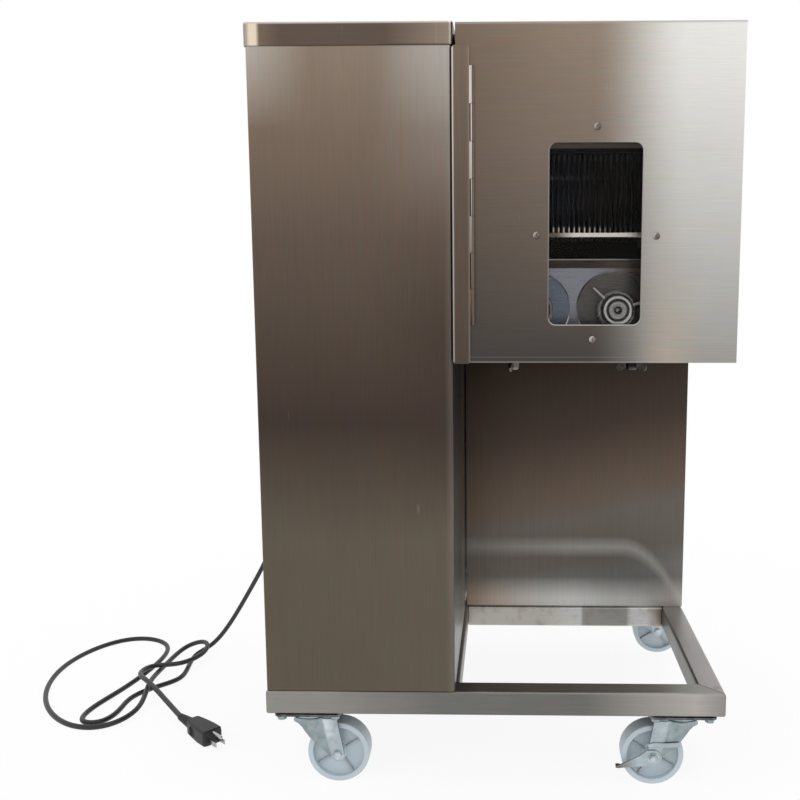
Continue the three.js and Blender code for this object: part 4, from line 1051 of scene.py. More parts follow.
def add_camera():
    clear_selection()
    turn = [math.radians(angle) for angle in CAMERA_TURN]
    bpy.ops.object.camera_add(location=metres(CAMERA_PLACE), rotation=turn)
    camera = bpy.context.object
    camera.name = "product_camera"
    camera.data.sensor_width = 36.0
    camera.data.lens = CAMERA_LENS
    camera.data.shift_x = CAMERA_SHIFT
    camera.data.clip_start = 0.05
    camera.data.clip_end = 50.0
    bpy.context.scene.camera = camera


def white_background(tree, strength):
    node = tree.nodes.new("ShaderNodeBackground")
    node.inputs["Color"].default_value = (1.0, 1.0, 1.0, 1.0)
    node.inputs["Strength"].default_value = strength
    return node.outputs[0]


def add_world():
    """White to the camera and in mirror images, a little dimmer as light."""
    world = bpy.data.worlds.new("Pale Studio")
    bpy.context.scene.world = world
    world.use_nodes = True
    tree = world.node_tree
    tree.nodes.clear()
    soft = white_background(tree, 0.82)
    clean = white_background(tree, 1.0)
    ray = tree.nodes.new("ShaderNodeLightPath")
    seen = math_node(tree, "MAXIMUM", ray.outputs["Is Camera Ray"], ray.outputs["Is Glossy Ray"])
    seen = math_node(tree, "MAXIMUM", seen, ray.outputs["Is Transmission Ray"])
    choose = tree.nodes.new("ShaderNodeMixShader")
    output = tree.nodes.new("ShaderNodeOutputWorld")
    tree.links.new(seen, choose.inputs[0])
    tree.links.new(soft, choose.inputs[1])
    tree.links.new(clean, choose.inputs[2])
    tree.links.new(choose.outputs[0], output.inputs["Surface"])


def add_lights():
    for name, place, aim, size, power in (
        ("window_light", (-1500, -1900, 1900), (0, 0, 500), 1.6, 16.0),
        ("fill_light", (1900, -1500, 1300), (0, 0, 400), 1.8, 8.0),
        ("top_light", (200, 300, 2600), (0, 0, 500), 1.8, 9.0),
    ):
        clear_selection()
        bpy.ops.object.light_add(type="AREA", location=metres(place))
        lamp = bpy.context.object
        lamp.name = name
        lamp.data.shape = "SQUARE"
        lamp.data.size = size
        lamp.data.energy = power
        lamp.visible_glossy = name != "window_light"
        aim_line = metres(aim) - metres(place)
        lamp.rotation_euler = aim_line.to_track_quat("-Z", "Y").to_euler()


def add_floor():
    """A pale floor that fades into the background's white away from the object."""
    material, tree, shader, place = blank_material("Pale Floor", 0.0, Roughness=0.9)
    shader.inputs["Specular IOR Level"].default_value = 0.0
    grain = noise(tree, place, 3.0, 3.0)
    tree.links.new(blended(tree, grain, (0.93, 0.93, 0.93), (0.955, 0.955, 0.955)),
                   shader.inputs["Base Color"])
    x, y, _ = apart(tree, place)
    reach = length_of(tree, x, y)
    glow = tree.nodes.new("ShaderNodeEmission")
    glow.inputs["Color"].default_value = (1.0, 1.0, 1.0, 1.0)
    fade = tree.nodes.new("ShaderNodeMixShader")
    output = next(n for n in tree.nodes if n.type == "OUTPUT_MATERIAL")
    tree.links.new(span(tree, reach, 0.35, 1.2, 0.90, 1.0), fade.inputs[0])
    tree.links.new(shader.outputs[0], fade.inputs[1])
    tree.links.new(glow.outputs[0], fade.inputs[2])
    tree.links.new(fade.outputs[0], output.inputs["Surface"])
    clear_selection()
    bpy.ops.mesh.primitive_grid_add(x_subdivisions=8, y_subdivisions=8, size=14, location=(0, 0, -0.0002))
    floor = bpy.context.object
    floor.name = "studio_floor"
    floor.data.materials.append(material)
    settle(floor)


# Mains lead

# The lead lies on the floor where its middle is at LAID
LEAD_ROUTE = [
    (-312, 195, 215), (-337, 195, 215), (-360, 195, 194), (-383, 195, 144), (-413, 195, 92), (-444, 195, 40),
    (-474, 197, LAID), (-493, 167, LAID), (-488, 117, LAID), (-480, 67, LAID), (-512, 41, LAID),
    (-540, 3, LAID), (-534, -43, LAID), (-546, -81, LAID), (-582, -77, LAID), (-580, -31, LAID),
    (-561, 21, LAID), (-547, 77, LAID), (-538, 136, LAID), (-541, 201, LAID), (-596, 237, LAID),
    (-654, 213, LAID), (-694, 115, LAID), (-668, -7, LAID), (-596, -91, LAID), (-534, -96, LAID),
    (-504, -51, 8), (-511, -5, 13), (-522, 43, 12), (-527, 97, LAID), (-524, 151, LAID), (-512, 189, 10),
    (-474, 181, 22), (-464, 139, 16), (-496, 97, 12.4), (-540, 103, 12.4), (-548, 54, 17), (-513, 17, 24),
    (-477, -23, 14), (-436, -75, 12.5),
]


class SlicerLead(Operator):
    """Lay the mains lead with its gland and plug"""

    bl_idname = "slicer.lead"
    bl_label = "Mains Lead"

    def execute(self, context):
        plug = model_plug()
        blades = model_plug_pins()
        gland = model_gland()
        cord = lay_cord(context.scene.slicer_sizes.cord_diameter)
        dressed(gland, "machine", "black_moulding", finish("moulding"), "cord_gland")
        dressed(plug, "machine", "black_moulding", finish("moulding"), "power_plug")
        dressed(blades, "machine", "bright_steel", finish("turned"))
        cord.data.materials.append(finish("lead"))
        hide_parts("power_cord")
        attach(cord, "machine")
        return {"FINISHED"}


def lay_cord(diameter):
    curve = bpy.data.curves.new("mains_lead", "CURVE")
    curve.dimensions = "3D"
    spline = curve.splines.new("NURBS")
    spline.points.add(len(LEAD_ROUTE) - 1)
    for point, place in zip(spline.points, LEAD_ROUTE):
        point.co = (*metres(place), 1.0)
    spline.order_u = 4
    spline.use_endpoint_u = True
    spline.resolution_u = 10
    curve.resolution_u = 10
    curve.bevel_depth = diameter / 2
    curve.bevel_resolution = 5
    curve.use_fill_caps = True
    cord = bpy.data.objects.new("mains_lead", curve)
    bpy.context.scene.collection.objects.link(cord)
    return cord


def placed_plug(piece):
    """Turns a piece modelled along +X from the lead's end to where the plug lies."""
    end = Vector(LEAD_ROUTE[-1])
    before = Vector(LEAD_ROUTE[-2])
    heading = math.atan2(end.y - before.y, end.x - before.x) + math.radians(9)
    move = Matrix.Translation(end * MM) @ Matrix.Rotation(heading, 4, "Z")
    piece.matrix_world = move @ piece.matrix_world
    return settle(piece)


def sleeve_ring(radius, along, width, depth, gap):
    """One ring of a strain relief and the groove after it, as profile points."""
    inner = radius - depth
    return [(radius, along), (radius, along + width), (inner, along + width + 0.2),
            (inner, along + width + 0.2 + gap)]


def model_plug():
    relief = []
    for ring in range(7):
        relief += sleeve_ring(4.9 + ring * 0.42, 0.4 + ring * 4.4, 2.9, 1.0, 1.1)
    sleeve = turned("plug_relief", [(0, 0.4)] + relief + [(6.6, 33.0), (0, 33.0)], "X", (0, 0), 32)
    outline = mirrored([(31, -7.6), (35, -9.8), (48, -11.8), (66, -13.8), (82, -13.9), (85, -12.6)])[:-1]
    body = plated("plug_body", outline, "Z", -10.6, 10.6)
    bevelled(body, 4.2, 5, 40)
    grip = []
    for side in (-1, 1):
        for rib in range(5):
            x = 46 + rib * 4.2
            low = (x, side * 12.2 - 1.1, -6.0)
            high = (x + 2.0, side * 12.2 + 1.1, 6.0)
            grip.append(bevelled(boxed("plug_rib", low, high), 0.8, 2))
    face = bevelled(plated("plug_face", rounded(-12.4, 12.4, -9.6, 9.6, 4.0, 6), "X", 84.6, 85.4), 0.3)
    return placed_plug(joined("plug_moulding", body, sleeve, face, *grip))


def model_plug_pins():
    blades = []
    for side in (-6.3, 6.3):
        blade = boxed("plug_blade", (84, side - 0.75, -6.2), (103, side + 0.75, 0.2))
        bevelled(blade, 0.5, 2)
        hole = pin("blade_hole", 1.5, side - 2, side + 2, "Y", (99.5, -3), 16)
        blades.append(hollowed(blade, hole))
    tip = [(0, 84), (2.4, 84), (2.4, 104.2), (2.1, 105.6), (1.2, 106.6), (0, 107)]
    ground = turned("ground_pin", tip, "X", (0, 6.5), 24)
    return placed_plug(joined("plug_pins", *blades, ground))


def model_gland():
    centre = (195, 215)
    ribs = []
    for ring in range(5):
        ribs += sleeve_ring(5.0 + ring * 0.55, -311.6 + ring * 3.5, 2.2, 0.8, 0.9)
    profile = [(0, -311.6)] + ribs + [
        (8.2, -292.5), (10.5, -290), (12.4, -288.2), (13, -286), (13, -280.5), (12.4, -279.6), (14.6, -279.2),
        (15, -278), (15, -275.2), (14.4, -274.4), (8, -274.3), (8, -264.6), (0, -264.6),
    ]
    body = turned("gland_body", profile, "X", centre, 48)
    nut = plated("gland_nut", arc(*centre, 14, 0, 300, 5), "X", -272.1, -267.6)
    bevelled(nut, 0.7, 2)
    return joined("gland", body, nut)


# Frame and casters


class SlicerFrame(Operator):
    """Weld the square-tube frame"""

    bl_idname = "slicer.frame"
    bl_label = "Frame"

    def execute(self, context):
        for look, nodes in (
            ("rail", ("front_rail", "rear_rail")),
            ("side_rail", ("left_rail", "right_rail", "mid_rail")),
            ("cross_rail", ("cross_rail",)),
        ):
            carried_over(*[(node, node + "_tube", "bright_steel", look, 0.5, 2, 12) for node in nodes])
        return {"FINISHED"}


class SlicerCasters(Operator):
    """Build the four swivel casters"""

    bl_idname = "slicer.casters"
    bl_label = "Casters"

    def execute(self, context):
        plate = model_caster_plate()
        race = model_caster_race()
        wheel = model_wheel()
        ribs = model_wheel_ribs()
        plain = model_fork()
        bands = model_fork_bands(False)
        braked = model_fork_bands(True)
        pedal = model_pedal()
        for corner, x, y, turn in (
            ("front_left", -CASTER_X, -CASTER_Y, 0),
            ("front_right", CASTER_X, -CASTER_Y, 180),
            ("rear_left", -CASTER_X, CASTER_Y, 180),
            ("rear_right", CASTER_X, CASTER_Y, 0),
        ):
            fork = corner + "_fork"
            rolling = corner + "_wheel"
            has_brake = corner == "front_right"
            rows = [
                # The top plate takes zinc painted near black as the rail's shadow
                (plate, "_swivel_plate", "machine", "zinc", "zinc_dark", corner + "_caster_plate"),
                # The race and the fork take zinc painted darker as shade
                (race, "_swivel_race", "machine", "zinc", "zinc_shade"),
                (plain, "_swivel_fork", fork, "zinc", "zinc_shade", corner + "_caster_fork"),
                (braked if has_brake else bands, "_fork_bands", fork, "zinc", "zinc"),
                (wheel, "_tyre", rolling, "wheel_grey", "wheel", rolling),
                # The ribs take a nylon painted darker as their shade
                (ribs, "_wheel_ribs", rolling, "wheel_grey", "rib"),
            ]
            for pattern, ending, body, slot, look, *node in rows:
                dressed(copied(pattern, corner + ending, turn, (x, y, 0)), body, slot, finish(look), *node)
            if has_brake:
                brake = copied(pedal, "brake_lever", turn, (x, y, 0))
                dressed(brake, "brake_pedal", "zinc", finish("pedal"), "front_right_brake_pedal")
        for pattern in (plate, race, wheel, ribs, plain, bands, braked, pedal):
            bpy.data.objects.remove(pattern)
        return {"FINISHED"}


def model_caster_plate():
    plate = plated("caster_top", rounded(-40, 40, -30, 30, 6, 6), "Z", 91.7, 94.7)
    return bevelled(plate, 0.5, 2)


def model_caster_race():
    race = turned("caster_race", [
        (0, 91.8), (24.5, 91.8), (26, 91), (26, 88.6), (25, 87.2), (22.6, 86.8), (22, 87.4), (18, 87.4),
        (17, 86.8), (5.2, 86.8), (5, 86.6), (5, 83.1), (8, 83.1), (8, 80.4), (6.6, 79.2), (0, 79.1),
    ], "Z", (0, 0), 48)
    bolts = [hex_head("caster_bolt", "Z", (x, y), 91.6, -5.4, 6.0) for x in (-32, 32) for y in (-22, 22)]
    return joined("caster_race", race, *bolts)


FORK_END = arc(*AXLE, 8.2, 20, -150, 12)


def model_fork():
    """The crown and the two swept cheeks that reach back to the swivel."""
    crown = turned("fork_crown", [
        (5.4, 86.2), (5.4, 83.5), (20, 83.4), (22.4, 83.6), (24.2, 84.8), (25, 86.2), (24.4, 86.4),
        (5.6, 86.4), (5.4, 86.2),
    ], "Z", (0, 0), 48)
    outline = [(-14, 78), (-19, 80.5), (-19, 84), (-16, 86.2), (31, 86.2), (33.5, 84)] + FORK_END
    outline += [(14, 46), (0.6, 58.5), (-5.5, 67), (-9.3, 72.9)]
    parts = [crown]
    for start, end in ((15.5, 18), (-18, -15.5)):
        leg = plated("fork_leg", outline, "Y", start, end)
        parts.append(bevelled(leg, 0.6, 2))
    for start, end in ((-18, -11), (11, 18)):
        shoulder = boxed("fork_shoulder", (-17.5, start, 83.6), (30, end, 86.2))
        parts.append(bevelled(shoulder, 0.8, 2))
    return joined("swivel_fork", *parts)


def model_fork_bands(braked):
    """The raised front bands of the cheeks with the axle and its nuts, and the brake's bracket."""
    parts = []
    outline = [(16, 84), (33.3, 84)] + FORK_END + [(20.4, 57.4), (17, 73.5)]
    for side in (-1, 1):
        start, end = sorted((side * 17.6, side * 18.7))
        parts.append(bevelled(plated("fork_band", outline, "Y", start, end), 0.5, 3))
        if braked:
            start, end = sorted((side * 18.4, side * 20.6))
            bracket = [(2, 53.4), (8, 51.8), (22, 51.2), (40.5, 51.6), (41.5, 55.6), (33, 57.6), (18, 57.2),
                       (4, 58.2)]
            parts.append(bevelled(plated("brake_bracket", bracket, "Y", start, end), 0.9, 3))
    reach = 25.5 if braked else 22.8
    near = 21.1 if braked else 18.7
    parts.append(pin("fork_axle", 4, -reach, reach, "Y", AXLE, 24))
    for side in (-1, 1):
        parts.append(hex_head("axle_nut", "Y", AXLE, side * near, side * 4.0, 6.0))
    return joined("fork_bands", *parts)


def model_wheel():
    tyre = mirrored([
        (30.6, -6.2), (31.3, -12.4), (31.9, -12.9), (36.4, -12.8), (37.4, -12.2), (37.9, -11), (38, -9),
    ])
    core = mirrored([
        (4.35, -15.1), (8, -15.2), (9.4, -14.4), (10, -6.4), (12, -5.0), (28.6, -5.0), (31, -6.6),
    ])
    rings = [turned("wheel_ring", profile, "Y", AXLE, 72) for profile in (tyre, core)]
    return joined("caster_wheel", *rings)


def model_wheel_ribs():
    x, z = AXLE
    ribs = []
    for start, end in ((-8.2, -4.6), (4.6, 8.2)):
        rib = bevelled(boxed("wheel_rib", (x + 9.4, start, z - 0.85), (x + 30.6, end, z + 0.85)), 0.3, 2)
        ribs += [copied(rib, "wheel_rib", 90 * step - 32, pivot=(x, 0, z), axis="Y") for step in range(4)]
        bpy.data.objects.remove(rib)
    return joined("wheel_ribs", *ribs)


def model_pedal():
    """The brake lever: two arms round the axle; the outer one runs on to a small foot tab."""
    start = [(37, 48), (42, 47.6), (46, 45), (51.5, 40.6)]
    hub = [(52, 27.2), (44, 27.6)] + arc(*AXLE, 10, -62, -288, 14)[1:-1]
    arms = []
    for low, high, tail in (
        (18.9, 20.9, [(60, 36.2), (69, 32), (79, 27.4), (80, 25.6), (76, 24.8), (64, 26.4)]),
        (-20.9, -18.9, [(57, 36.5), (58, 33), (56, 29)]),
    ):
        arm = plated("brake_arm", start + tail + hub, "Y", low, high)
        hole = pin("arm_hole", 4.3, low - 1, high + 1, "Y", AXLE, 24)
        arms.append(bevelled(hollowed(arm, hole), 0.5, 2))
    tread = bevelled(boxed("brake_tread", (73.5, 12.5, 25.0), (79.4, 20.9, 27.4)), 1.1, 3)
    return joined("brake_lever", *arms, tread)


# Cabinet and housing


class SlicerCabinet(Operator):
    """Fold the drive cabinet, its floor, back and lid"""

    bl_idname = "slicer.cabinet"
    bl_label = "Drive Cabinet"

    def execute(self, context):
        carried_over(
            ("cabinet_shell", "cabinet_walls", "stainless", "cabinet", 0.35, 2, 25),
            ("cabinet_floor", "cabinet_deck", "plain_steel", "deck", 0.4),
            ("cabinet_back", "cabinet_back_panel", "stainless", "cabinet", 0.3),
        )
        heads = [
            dome_head("back_screw", "Y", (x, z), REAR, 2.4, 4.0)
            for x in (-264, -57.5) for z in (160, 400, 640, 850)
        ]
        dressed(joined("back_screws", *heads), "machine", "bright_steel", finish("screw"))
        carried_over(("cabinet_lid", "cabinet_cap", "stainless", "lid", 0.9, 3, 40))
        return {"FINISHED"}


class SlicerHousing(Operator):
    """Fold the drive housing behind the chamber"""

    bl_idname = "slicer.housing"
    bl_label = "Drive Housing"

    def execute(self, context):
        carried_over(
            ("housing_panel", "housing_front_panel", "stainless", "panel", 0.3),
            ("housing_cover", "housing_back_cover", "stainless", "housing", 0.9, 3, 40),
        )
        heads = [dome_head("cover_screw", "X", (75, z), COVER_RIGHT, 2.2, 4.0) for z in (160, 400, 640, 860)]
        heads += [dome_head("cover_screw", "Z", (x, 75), COVER_TOP, 2.2, 4.0) for x in (0, 115, 230)]
        dressed(joined("cover_screws", *heads), "machine", "bright_steel", finish("screw"))
        return {"FINISHED"}


# Chamber and door


class SlicerChamber(Operator):
    """Build the chamber's side, support rail and feed chute"""

    bl_idname = "slicer.chamber"
    bl_label = "Chamber"

    def execute(self, context):
        carried_over(
            ("chamber_side", "chamber_side_sheet", "stainless", "chamber", 0.3),
            ("support_rail", "support_bar", "bright_steel", "plate", 0.6),
            ("feed_chute", "feed_funnel", "stainless", "chamber", 0.5, 2, 20),
        )
        return {"FINISHED"}


class SlicerDoor(Operator):
    """Build the door with its window, screws and hinge"""

    bl_idname = "slicer.door"
    bl_label = "Door"

    def execute(self, context):
        dressed(model_door(), "door", "stainless", finish("door"), "door")
        dressed(model_door_knuckles(), "door", "bright_steel", finish("barrel"))
        pane = boxed("door_window", (32.2, -233.1, 535.2), (191.8, -229.3, 792.0))
        bevelled(pane, 0.6, 2)
        dressed(pane, "door", "pane", finish("pane"), "window_pane")
        screws = model_window_screws()
        dressed(screws, "door", "bright_steel", finish("door_screw"))
        dressed(model_hinge_strip(), "machine", "bright_steel", finish("strip"), "hinge_strip")
        dressed(model_strip_knuckles(), "machine", "bright_steel", finish("barrel"))
        return {"FINISHED"}


def knuckle_run(index):
    """Where one of the seven knuckles of the hinge starts and ends."""
    pitch = (HINGE_TOP - HINGE_FOOT) / 7
    start = HINGE_FOOT + index * pitch + 0.2
    return start, start + pitch - 0.4


def knuckle_wall(start, end):
    return [(2.15, start), (2.3, start + 0.2), (2.3, end - 0.2), (2.15, end)]


def model_door():
    left, right, bottom, top = DOOR
    corners = [(left, bottom), (right, bottom), (right, top), (left, top)]
    skin = plated("door_skin", corners, "Y", FRONT, FRONT + 1.5)
    opening = plated("door_opening", rounded(*WINDOW, WINDOW_CORNER, 12), "Y", FRONT - 3, FRONT + 5)
    hollowed(skin, opening)
    bevelled(skin, 0.45, 3, 40)
    folds = [
        boxed("door_fold", (right - 1.5, FRONT + 0.4, bottom + 0.3), (right, FRONT + 13.5, top - 0.3)),
        boxed("door_fold", (-12, FRONT + 0.4, top - 1.5), (right - 0.3, FRONT + 13.5, top)),
        boxed("door_fold", (-12, FRONT + 0.4, bottom), (right - 0.3, FRONT + 13.5, bottom + 1.5)),
    ]
    for fold in folds:
        bevelled(fold, 0.3, 2)
    return joined("door_skin", skin, *folds)


def model_door_knuckles():
    hx, hy = HINGE
    parts = []
    for index in (1, 3, 5):
        start, end = knuckle_run(index)
        ring = [(1.3, start)] + knuckle_wall(start, end) + [(1.3, end), (1.3, start)]
        parts.append(turned("door_knuckle", ring, "Z", HINGE, 32))
        leaf = boxed("door_leaf", (hx + 0.2, hy + 1.3, start), (hx + 1.6, FRONT + 0.9, end))
        parts.append(bevelled(leaf, 0.15, 1))
    return joined("door_knuckles", *parts)


def model_window_screws():
    heads = []
    for x, z in ((113, 781), (46.5, 663), (180, 662), (110.4, 546.6)):
        heads.append(dome_head("window_screw", "Y", (x, z), FRONT, -2.6, 4.1))
        nut = plated("window_nut", arc(x, z, 5.4, 0, 300, 5), "Y", -229.2, -225.6)
        heads.append(bevelled(nut, 0.5, 2))
    return joined("window_screws", *heads)


def model_hinge_strip():
    front_leg = plated("strip_face", rounded(-47.2, -27.5, 519, 867.5, 4, 8), "Y", -238.5, -237.0)
    bevelled(front_leg, 0.5, 3, 40)
    side_leg = bevelled(boxed("strip_side", (-47.2, -238.2, 523), (-45.7, -210, 863.5)), 0.4, 2)
    return joined("hinge_leaf", front_leg, side_leg)


def model_strip_knuckles():
    parts = [pin("hinge_pin", 1, HINGE_FOOT + 0.1, HINGE_TOP - 0.1, "Z", HINGE, 16)]
    for index in (0, 2, 4, 6):
        start, end = knuckle_run(index)
        ring = [(0, start)] + knuckle_wall(start, end) + [(0, end)]
        parts.append(turned("strip_knuckle", ring, "Z", HINGE, 32))
        leaf = boxed("strip_leaf", (-28.4, -238.4, start), (-24.6, -237.1, end))
        parts.append(bevelled(leaf, 0.15, 1))
    return joined("strip_knuckles", *parts)


# Blade sets


def disc_run(first, count, pitch, thick):
    """Bevelled discs of 50 mm radius on 22 mm spacers, as profile points."""
    points = []
    for index in range(count):
        middle = first + index * pitch
        points += [
            (22, middle - thick / 2), (44, middle - thick / 2), (49.6, middle - 0.15), (50, middle),
            (49.6, middle + 0.15), (44, middle + thick / 2), (22, middle + thick / 2),
        ]
    return points


def gear_ring(name, axis, centre, start, end):
    """A spur gear of 15 teeth, extruded from its outline."""
    outline = []
    tip, root = 53.6, 39.8
    for tooth in range(15):
        middle = tooth * 24 + (90 if axis == "Y" else 0)
        for radius, turn in ((root, -7.9), (root + 5, -5.9), (tip - 0.8, -3.0), (tip, -2.2), (tip, 2.2),
                             (tip - 0.8, 3.0), (root + 5, 5.9), (root, 7.9)):
            angle = math.radians(middle + turn)
            outline.append((centre[0] + radius * math.cos(angle), centre[1] + radius * math.sin(angle)))
    gear = plated(name, outline, axis, start, end)
    return bevelled(gear, 0.5, 2, 50)


class SlicerUpperSet(Operator):
    """Build the upper blade rollers, plates and combs"""

    bl_idname = "slicer.upper_set"
    bl_label = "Upper Blade Set"

    def execute(self, context):
        for side in ("left", "right"):
            node = "upper_%s_plate" % side
            carried_over((node, node + "_cheek", "bright_steel", "plate", 0.6))
        for row, y, first, start in (
            ("front", UPPER_AXES_Y[0], 35, -92),
            ("rear", UPPER_AXES_Y[1], 38, -120),
        ):
            node = "upper_%s_roller" % row
            profile = [(0, start), (9.4, start), (10, start + 0.6), (10, 12.7), (15.2, 12.7), (16, 13.4),
                       (16, 19), (15.4, 19.7), (10, 19.7), (10, 28), (22, 28)]
            profile += disc_run(first, 26, 6, 1.5)
            profile += [(22, 196), (10, 196), (10, 204.3), (15.4, 204.3), (16, 205), (16, 210.6),
                        (15.2, 211.3), (10, 211.3), (10, 214.4), (9.4, 215), (0, 215)]
            shaft = turned(node + "_shaft", profile, "X", (y, UPPER_Z), 72)
            gear = gear_ring(node + "_gear", "X", (y, UPPER_Z), -85, -65)
            dressed(joined(node + "_blades", shaft, gear), node, "bright_steel", finish("upper_blade"), node)
            comb = "upper_%s_comb" % row
            carried_over((comb, comb + "_fingers", "plain_steel", "upper_comb", 0.25, 1))
        return {"FINISHED"}


class SlicerLowerSet(Operator):
    """Build the lower blade rollers, plates, flanges and wing screws"""

    bl_idname = "slicer.lower_set"
    bl_label = "Lower Blade Set"

    def execute(self, context):
        for place, look in (("front", "wall_plate"), ("rear", "plate")):
            node = "lower_%s_plate" % place
            carried_over((node, node + "_wall", "bright_steel", look, 0.6))
        for row, x, first, pulley, phase in (
            ("left", LOWER_AXES_X[0], 80, True, -15),
            ("right", LOWER_AXES_X[1], 87, False, 47),
        ):
            node = "lower_%s_roller" % row
            roller = model_lower_roller(node, x, first, pulley, phase)
            dressed(roller, node, "bright_steel", finish("lower_blade"), node)
            flange = "lower_%s_flange" % row
            dressed(model_flange(flange, x), "machine", "bright_steel", finish("flange"), flange)
            comb = "lower_%s_comb" % row
            carried_over((comb, comb + "_fingers", "plain_steel", "lower_comb", 0.3, 1))
        for side, x, turn in (("left", 22, 75), ("right", 163, -15)):
            screw = model_wing_screw(side + "_wing", x, turn)
            dressed(screw, side + "_wing_screw", "bright_steel", finish("wing"), side + "_wing_screw")
        return {"FINISHED"}


def model_lower_roller(node, x, first, pulley, phase):
    nut = [
        (0, 17), (3.6, 17), (4, 16.6), (4, 12.3), (4.5, 12), (10.6, 12), (11, 12.4), (11, 14), (13, 14),
        (13, 12.4), (13.4, 12), (15.8, 12), (16.5, 12.7), (16.5, 19.4), (17, 20), (18.4, 20), (19, 20.6),
        (19, 29.4), (18.4, 30), (21.4, 30), (22, 30.6), (22, 58.7), (10, 58.7), (10, 72.3), (22, 72.3),
    ]
    tail = [(22, 248), (10, 248), (10, 310)]
    if pulley:
        tail += [(10, 385), (50.4, 385), (51, 385.6), (51, 386.6), (50.6, 387), (45, 387), (45, 398),
                 (50.6, 398), (51, 398.4), (51, 399.4), (50.4, 400), (10, 400)]
    profile = nut + disc_run(first, 12, 14, 2) + tail + [(10, 431.4), (9.4, 432), (0, 432)]
    shaft = turned(node + "_shaft", [(r, FRONT + d) for r, d in profile], "Y", (x, LOWER_Z), 72)
    gear = gear_ring(node + "_gear", "Y", (x, LOWER_Z), MOTOR_BACK, MOTOR_BACK + 20)
    pins = []
    for turn in (0, 120, 240):
        rod = turned("tommy_pin", [(0, 14), (1.5, 14), (1.5, 36.2), (1.0, 37), (0, 37)], "Z", (0, 0), 16)
        pins.append(copied(rod, "tommy_pin", -(phase + turn), (x, FRONT + 25, LOWER_Z), axis="Y"))
        bpy.data.objects.remove(rod)
    return joined(node + "_blades", shaft, gear, *pins)


def model_flange(node, x):
    back = FRONT + 64
    profile = [
        (10.35, back - 4.6), (10.7, back - 5), (42.4, back - 5), (44, back - 3.6), (44, back), (10.35, back),
        (10.35, back - 4.6),
    ]
    return turned(node + "_ring", profile, "Y", (x, LOWER_Z), 96)


def model_wing_screw(name, x, turn):
    seat = 521.7
    stem = turned(name + "_stem", [
        (0, seat - 16), (5.2, seat - 16), (6, seat - 15), (6.6, seat - 10), (7.4, seat - 4), (9, seat - 1),
        (9, seat), (4, seat), (4, seat + 10.8), (3.4, seat + 11.6), (0, seat + 11.6),
    ], "Z", (0, 0), 32)
    wings = []
    blade = [(4, 12), (11, 16.6), (15, 18.0), (18, 16.4), (18.6, 12.6), (16.5, 8.6), (11, 6.2), (6, 5)]
    for side in (-1, 1):
        outline = [(side * reach, seat - drop) for reach, drop in blade]
        wings.append(bevelled(plated(name + "_wing", outline, "Y", -1.6, 1.6), 1.1, 3))
    whole = joined(name + "_pattern", stem, *wings)
    moved = copied(whole, name, turn, (x, -171, 0))
    bpy.data.objects.remove(whole)
    return moved


# Drive and buttons


class SlicerDrive(Operator):
    """Build the motor, gearbox, belts and shafts"""

    bl_idname = "slicer.drive"
    bl_label = "Drive"

    def execute(self, context):
        dressed(model_motor(), "machine", "machine_grey", finish("enamel"), "motor")
        carried_over(
            ("gearbox", "gearbox_casting", "machine_grey", "enamel", 2.2, 3),
            ("drive_plate", "drive_bearing_plate", "plain_steel", "deck", 0.6),
            ("drive_belt", "drive_belt_loop", "black_rubber", "belt", 0.6, 2, 50),
            ("cross_belt", "cross_belt_loop", "black_rubber", "belt", 0.6, 2, 50),
        )
        dressed(model_motor_pulley(), "motor_pulley", "machine_grey", finish("enamel"), "motor_pulley")
        dressed(model_jack_shaft(), "jack_shaft", "machine_grey", finish("enamel"), "jack_shaft")
        return {"FINISHED"}


def grooved_rim(start, radius, width):
    """A flat belt pulley's rim between two rounded lips, as profile points."""
    lip = radius + 6
    end = start + width
    return [
        (lip - 0.6, start), (lip, start + 0.6), (lip, start + 1.4), (lip - 0.6, start + 2),
        (radius, start + 2), (radius, end - 2), (lip - 0.6, end - 2), (lip, end - 1.4), (lip, end - 0.6),
        (lip - 0.6, end),
    ]


def model_motor():
    back = MOTOR_BACK
    start = back - 220
    fins = []
    for ring in range(17):
        here = start + 46 + ring * 7
        fins += [(73, here), (79.4, here + 0.3), (80, here + 1), (79.4, here + 1.7), (73, here + 2)]
    profile = [(0, start), (56, start), (60, start + 1.5), (71, start + 11), (72, start + 14),
               (72, start + 40), (73, start + 42)]
    profile += fins
    profile += [(73, back - 52), (78, back - 48), (78, back - 24), (74, back - 20), (42, back - 10),
                (40, back - 8), (40, back), (12.5, back), (12.5, back - 19), (0, back - 19)]
    body = turned("motor_body", profile, "Y", MOTOR_AXIS, 72)
    base = bevelled(boxed("motor_base", (-235, back - 150, 128.7), (-85, back - 40, 136.6)), 1.5, 2)
    feet = []
    for left in (-224, -124):
        foot = boxed("motor_foot", (left, back - 150, 129), (left + 28, back - 40, 200))
        feet.append(bevelled(foot, 2.0, 2))
    box = bevelled(boxed("terminal_box", (-188, start + 60, 312), (-132, start + 120, 358)), 3.0, 3)
    return joined("motor_casting", body, base, *feet, box)


def model_motor_pulley():
    back = MOTOR_BACK
    rim = BELT_PLANE
    profile = [(0, back - 18.8), (12, back - 18.8), (12, back + 4), (23, back + 4), (24, back + 5), (24, rim)]
    profile += grooved_rim(rim, 32, 22) + [(12, rim + 22), (12, rim + 21), (0, rim + 21)]
    return turned("motor_pulley_wheel", profile, "Y", MOTOR_AXIS, 64)


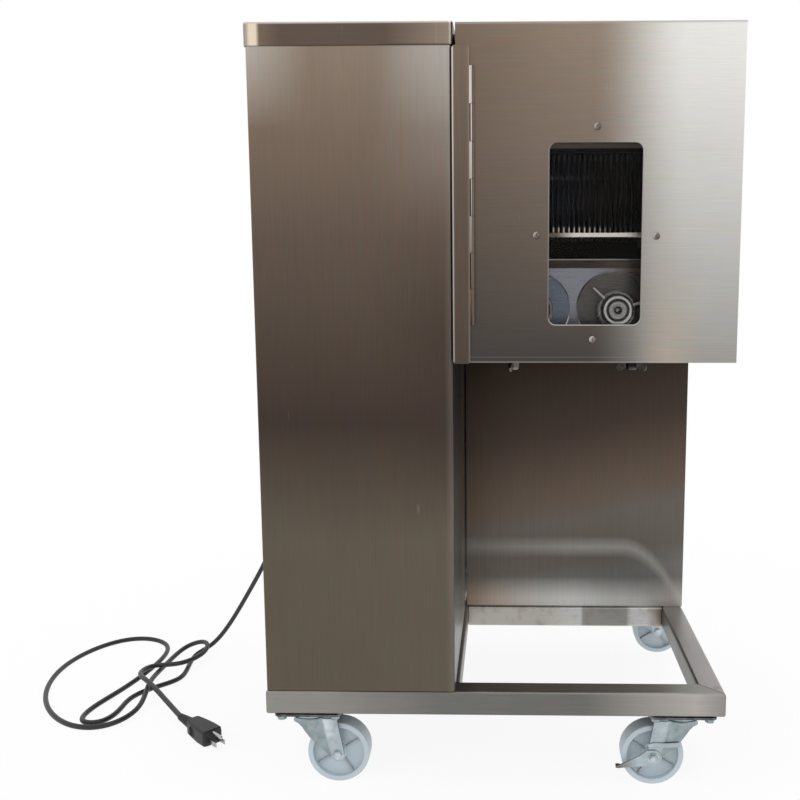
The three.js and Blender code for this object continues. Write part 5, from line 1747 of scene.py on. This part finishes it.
def model_jack_shaft():
    rim = BELT_PLANE
    cross = CROSS_PLANE
    profile = [(0, FRONT + 280), (9.4, FRONT + 280), (10, FRONT + 280.6), (10, rim - 8), (19.2, rim - 8),
               (20, rim - 7.2), (20, rim + 7), (70, rim + 7), (70, rim)]
    profile += grooved_rim(rim, 80, 22) + [(70, rim + 22), (70, rim + 15), (20, rim + 15), (20, rim + 22),
                                           (10, rim + 22), (10, cross)]
    profile += grooved_rim(cross, 45, 15) + [(10, cross + 15), (10, SHAFT_END - 0.6), (9.4, SHAFT_END),
                                             (0, SHAFT_END)]
    return turned("jack_shaft_pulleys", profile, "Y", JACK_AXIS, 72)


class SlicerButtons(Operator):
    """Build the start and stop buttons"""

    bl_idname = "slicer.buttons"
    bl_label = "Buttons"

    def execute(self, context):
        for name, y, colour in (("start", -135, "green"), ("stop", -95, "red")):
            profile = [
                (0, -283.2), (9, -283.2), (11.4, -282.8), (12.7, -281.6), (13, -280.2), (12.8, -278.6),
                (12.2, -278.4), (8, -278.4), (8, -272.2), (10.6, -272.2), (11, -271.8), (11, -268.6),
                (10.6, -268.2), (0, -268.2),
            ]
            cap = turned(name + "_cap", profile, "X", (y, BUTTON_Z), 48)
            dressed(cap, name + "_button", colour, finish(colour), name + "_button")
        return {"FINISHED"}


# Panel and run


STEPS = (
    SlicerStage,
    SlicerLead,
    SlicerFrame,
    SlicerCasters,
    SlicerCabinet,
    SlicerHousing,
    SlicerChamber,
    SlicerDoor,
    SlicerUpperSet,
    SlicerLowerSet,
    SlicerDrive,
    SlicerButtons,
)


class SlicerPanel(Panel):
    bl_idname = "VIEW3D_PT_slicer"
    bl_label = "Strip Slicer"
    bl_space_type = "VIEW_3D"
    bl_region_type = "UI"
    bl_category = "Slicer"

    def draw(self, context):
        layout = self.layout
        for settings in (context.scene.slicer_sizes, context.scene.slicer_finish):
            box = layout.box()
            for name in settings.__annotations__:
                box.prop(settings, name)
        for step in STEPS:
            layout.operator(step.bl_idname)


CLASSES = (SlicerFinish, SlicerSizes, *STEPS, SlicerPanel)


def register():
    for cls in CLASSES:
        bpy.utils.register_class(cls)
    bpy.types.Scene.slicer_finish = PointerProperty(type=SlicerFinish)
    bpy.types.Scene.slicer_sizes = PointerProperty(type=SlicerSizes)


def unregister():
    del bpy.types.Scene.slicer_sizes
    del bpy.types.Scene.slicer_finish
    for cls in reversed(CLASSES):
        bpy.utils.unregister_class(cls)


def main():
    register()
    bpy.context.scene.view_settings.view_transform = "Standard"
    bpy.ops.slicer.stage()
    bpy.ops.slicer.lead()
    bpy.ops.slicer.frame()
    bpy.ops.slicer.casters()
    bpy.ops.slicer.cabinet()
    bpy.ops.slicer.housing()
    bpy.ops.slicer.chamber()
    bpy.ops.slicer.door()
    bpy.ops.slicer.upper_set()
    bpy.ops.slicer.lower_set()
    bpy.ops.slicer.drive()
    bpy.ops.slicer.buttons()


if __name__ == "__main__":
    main()
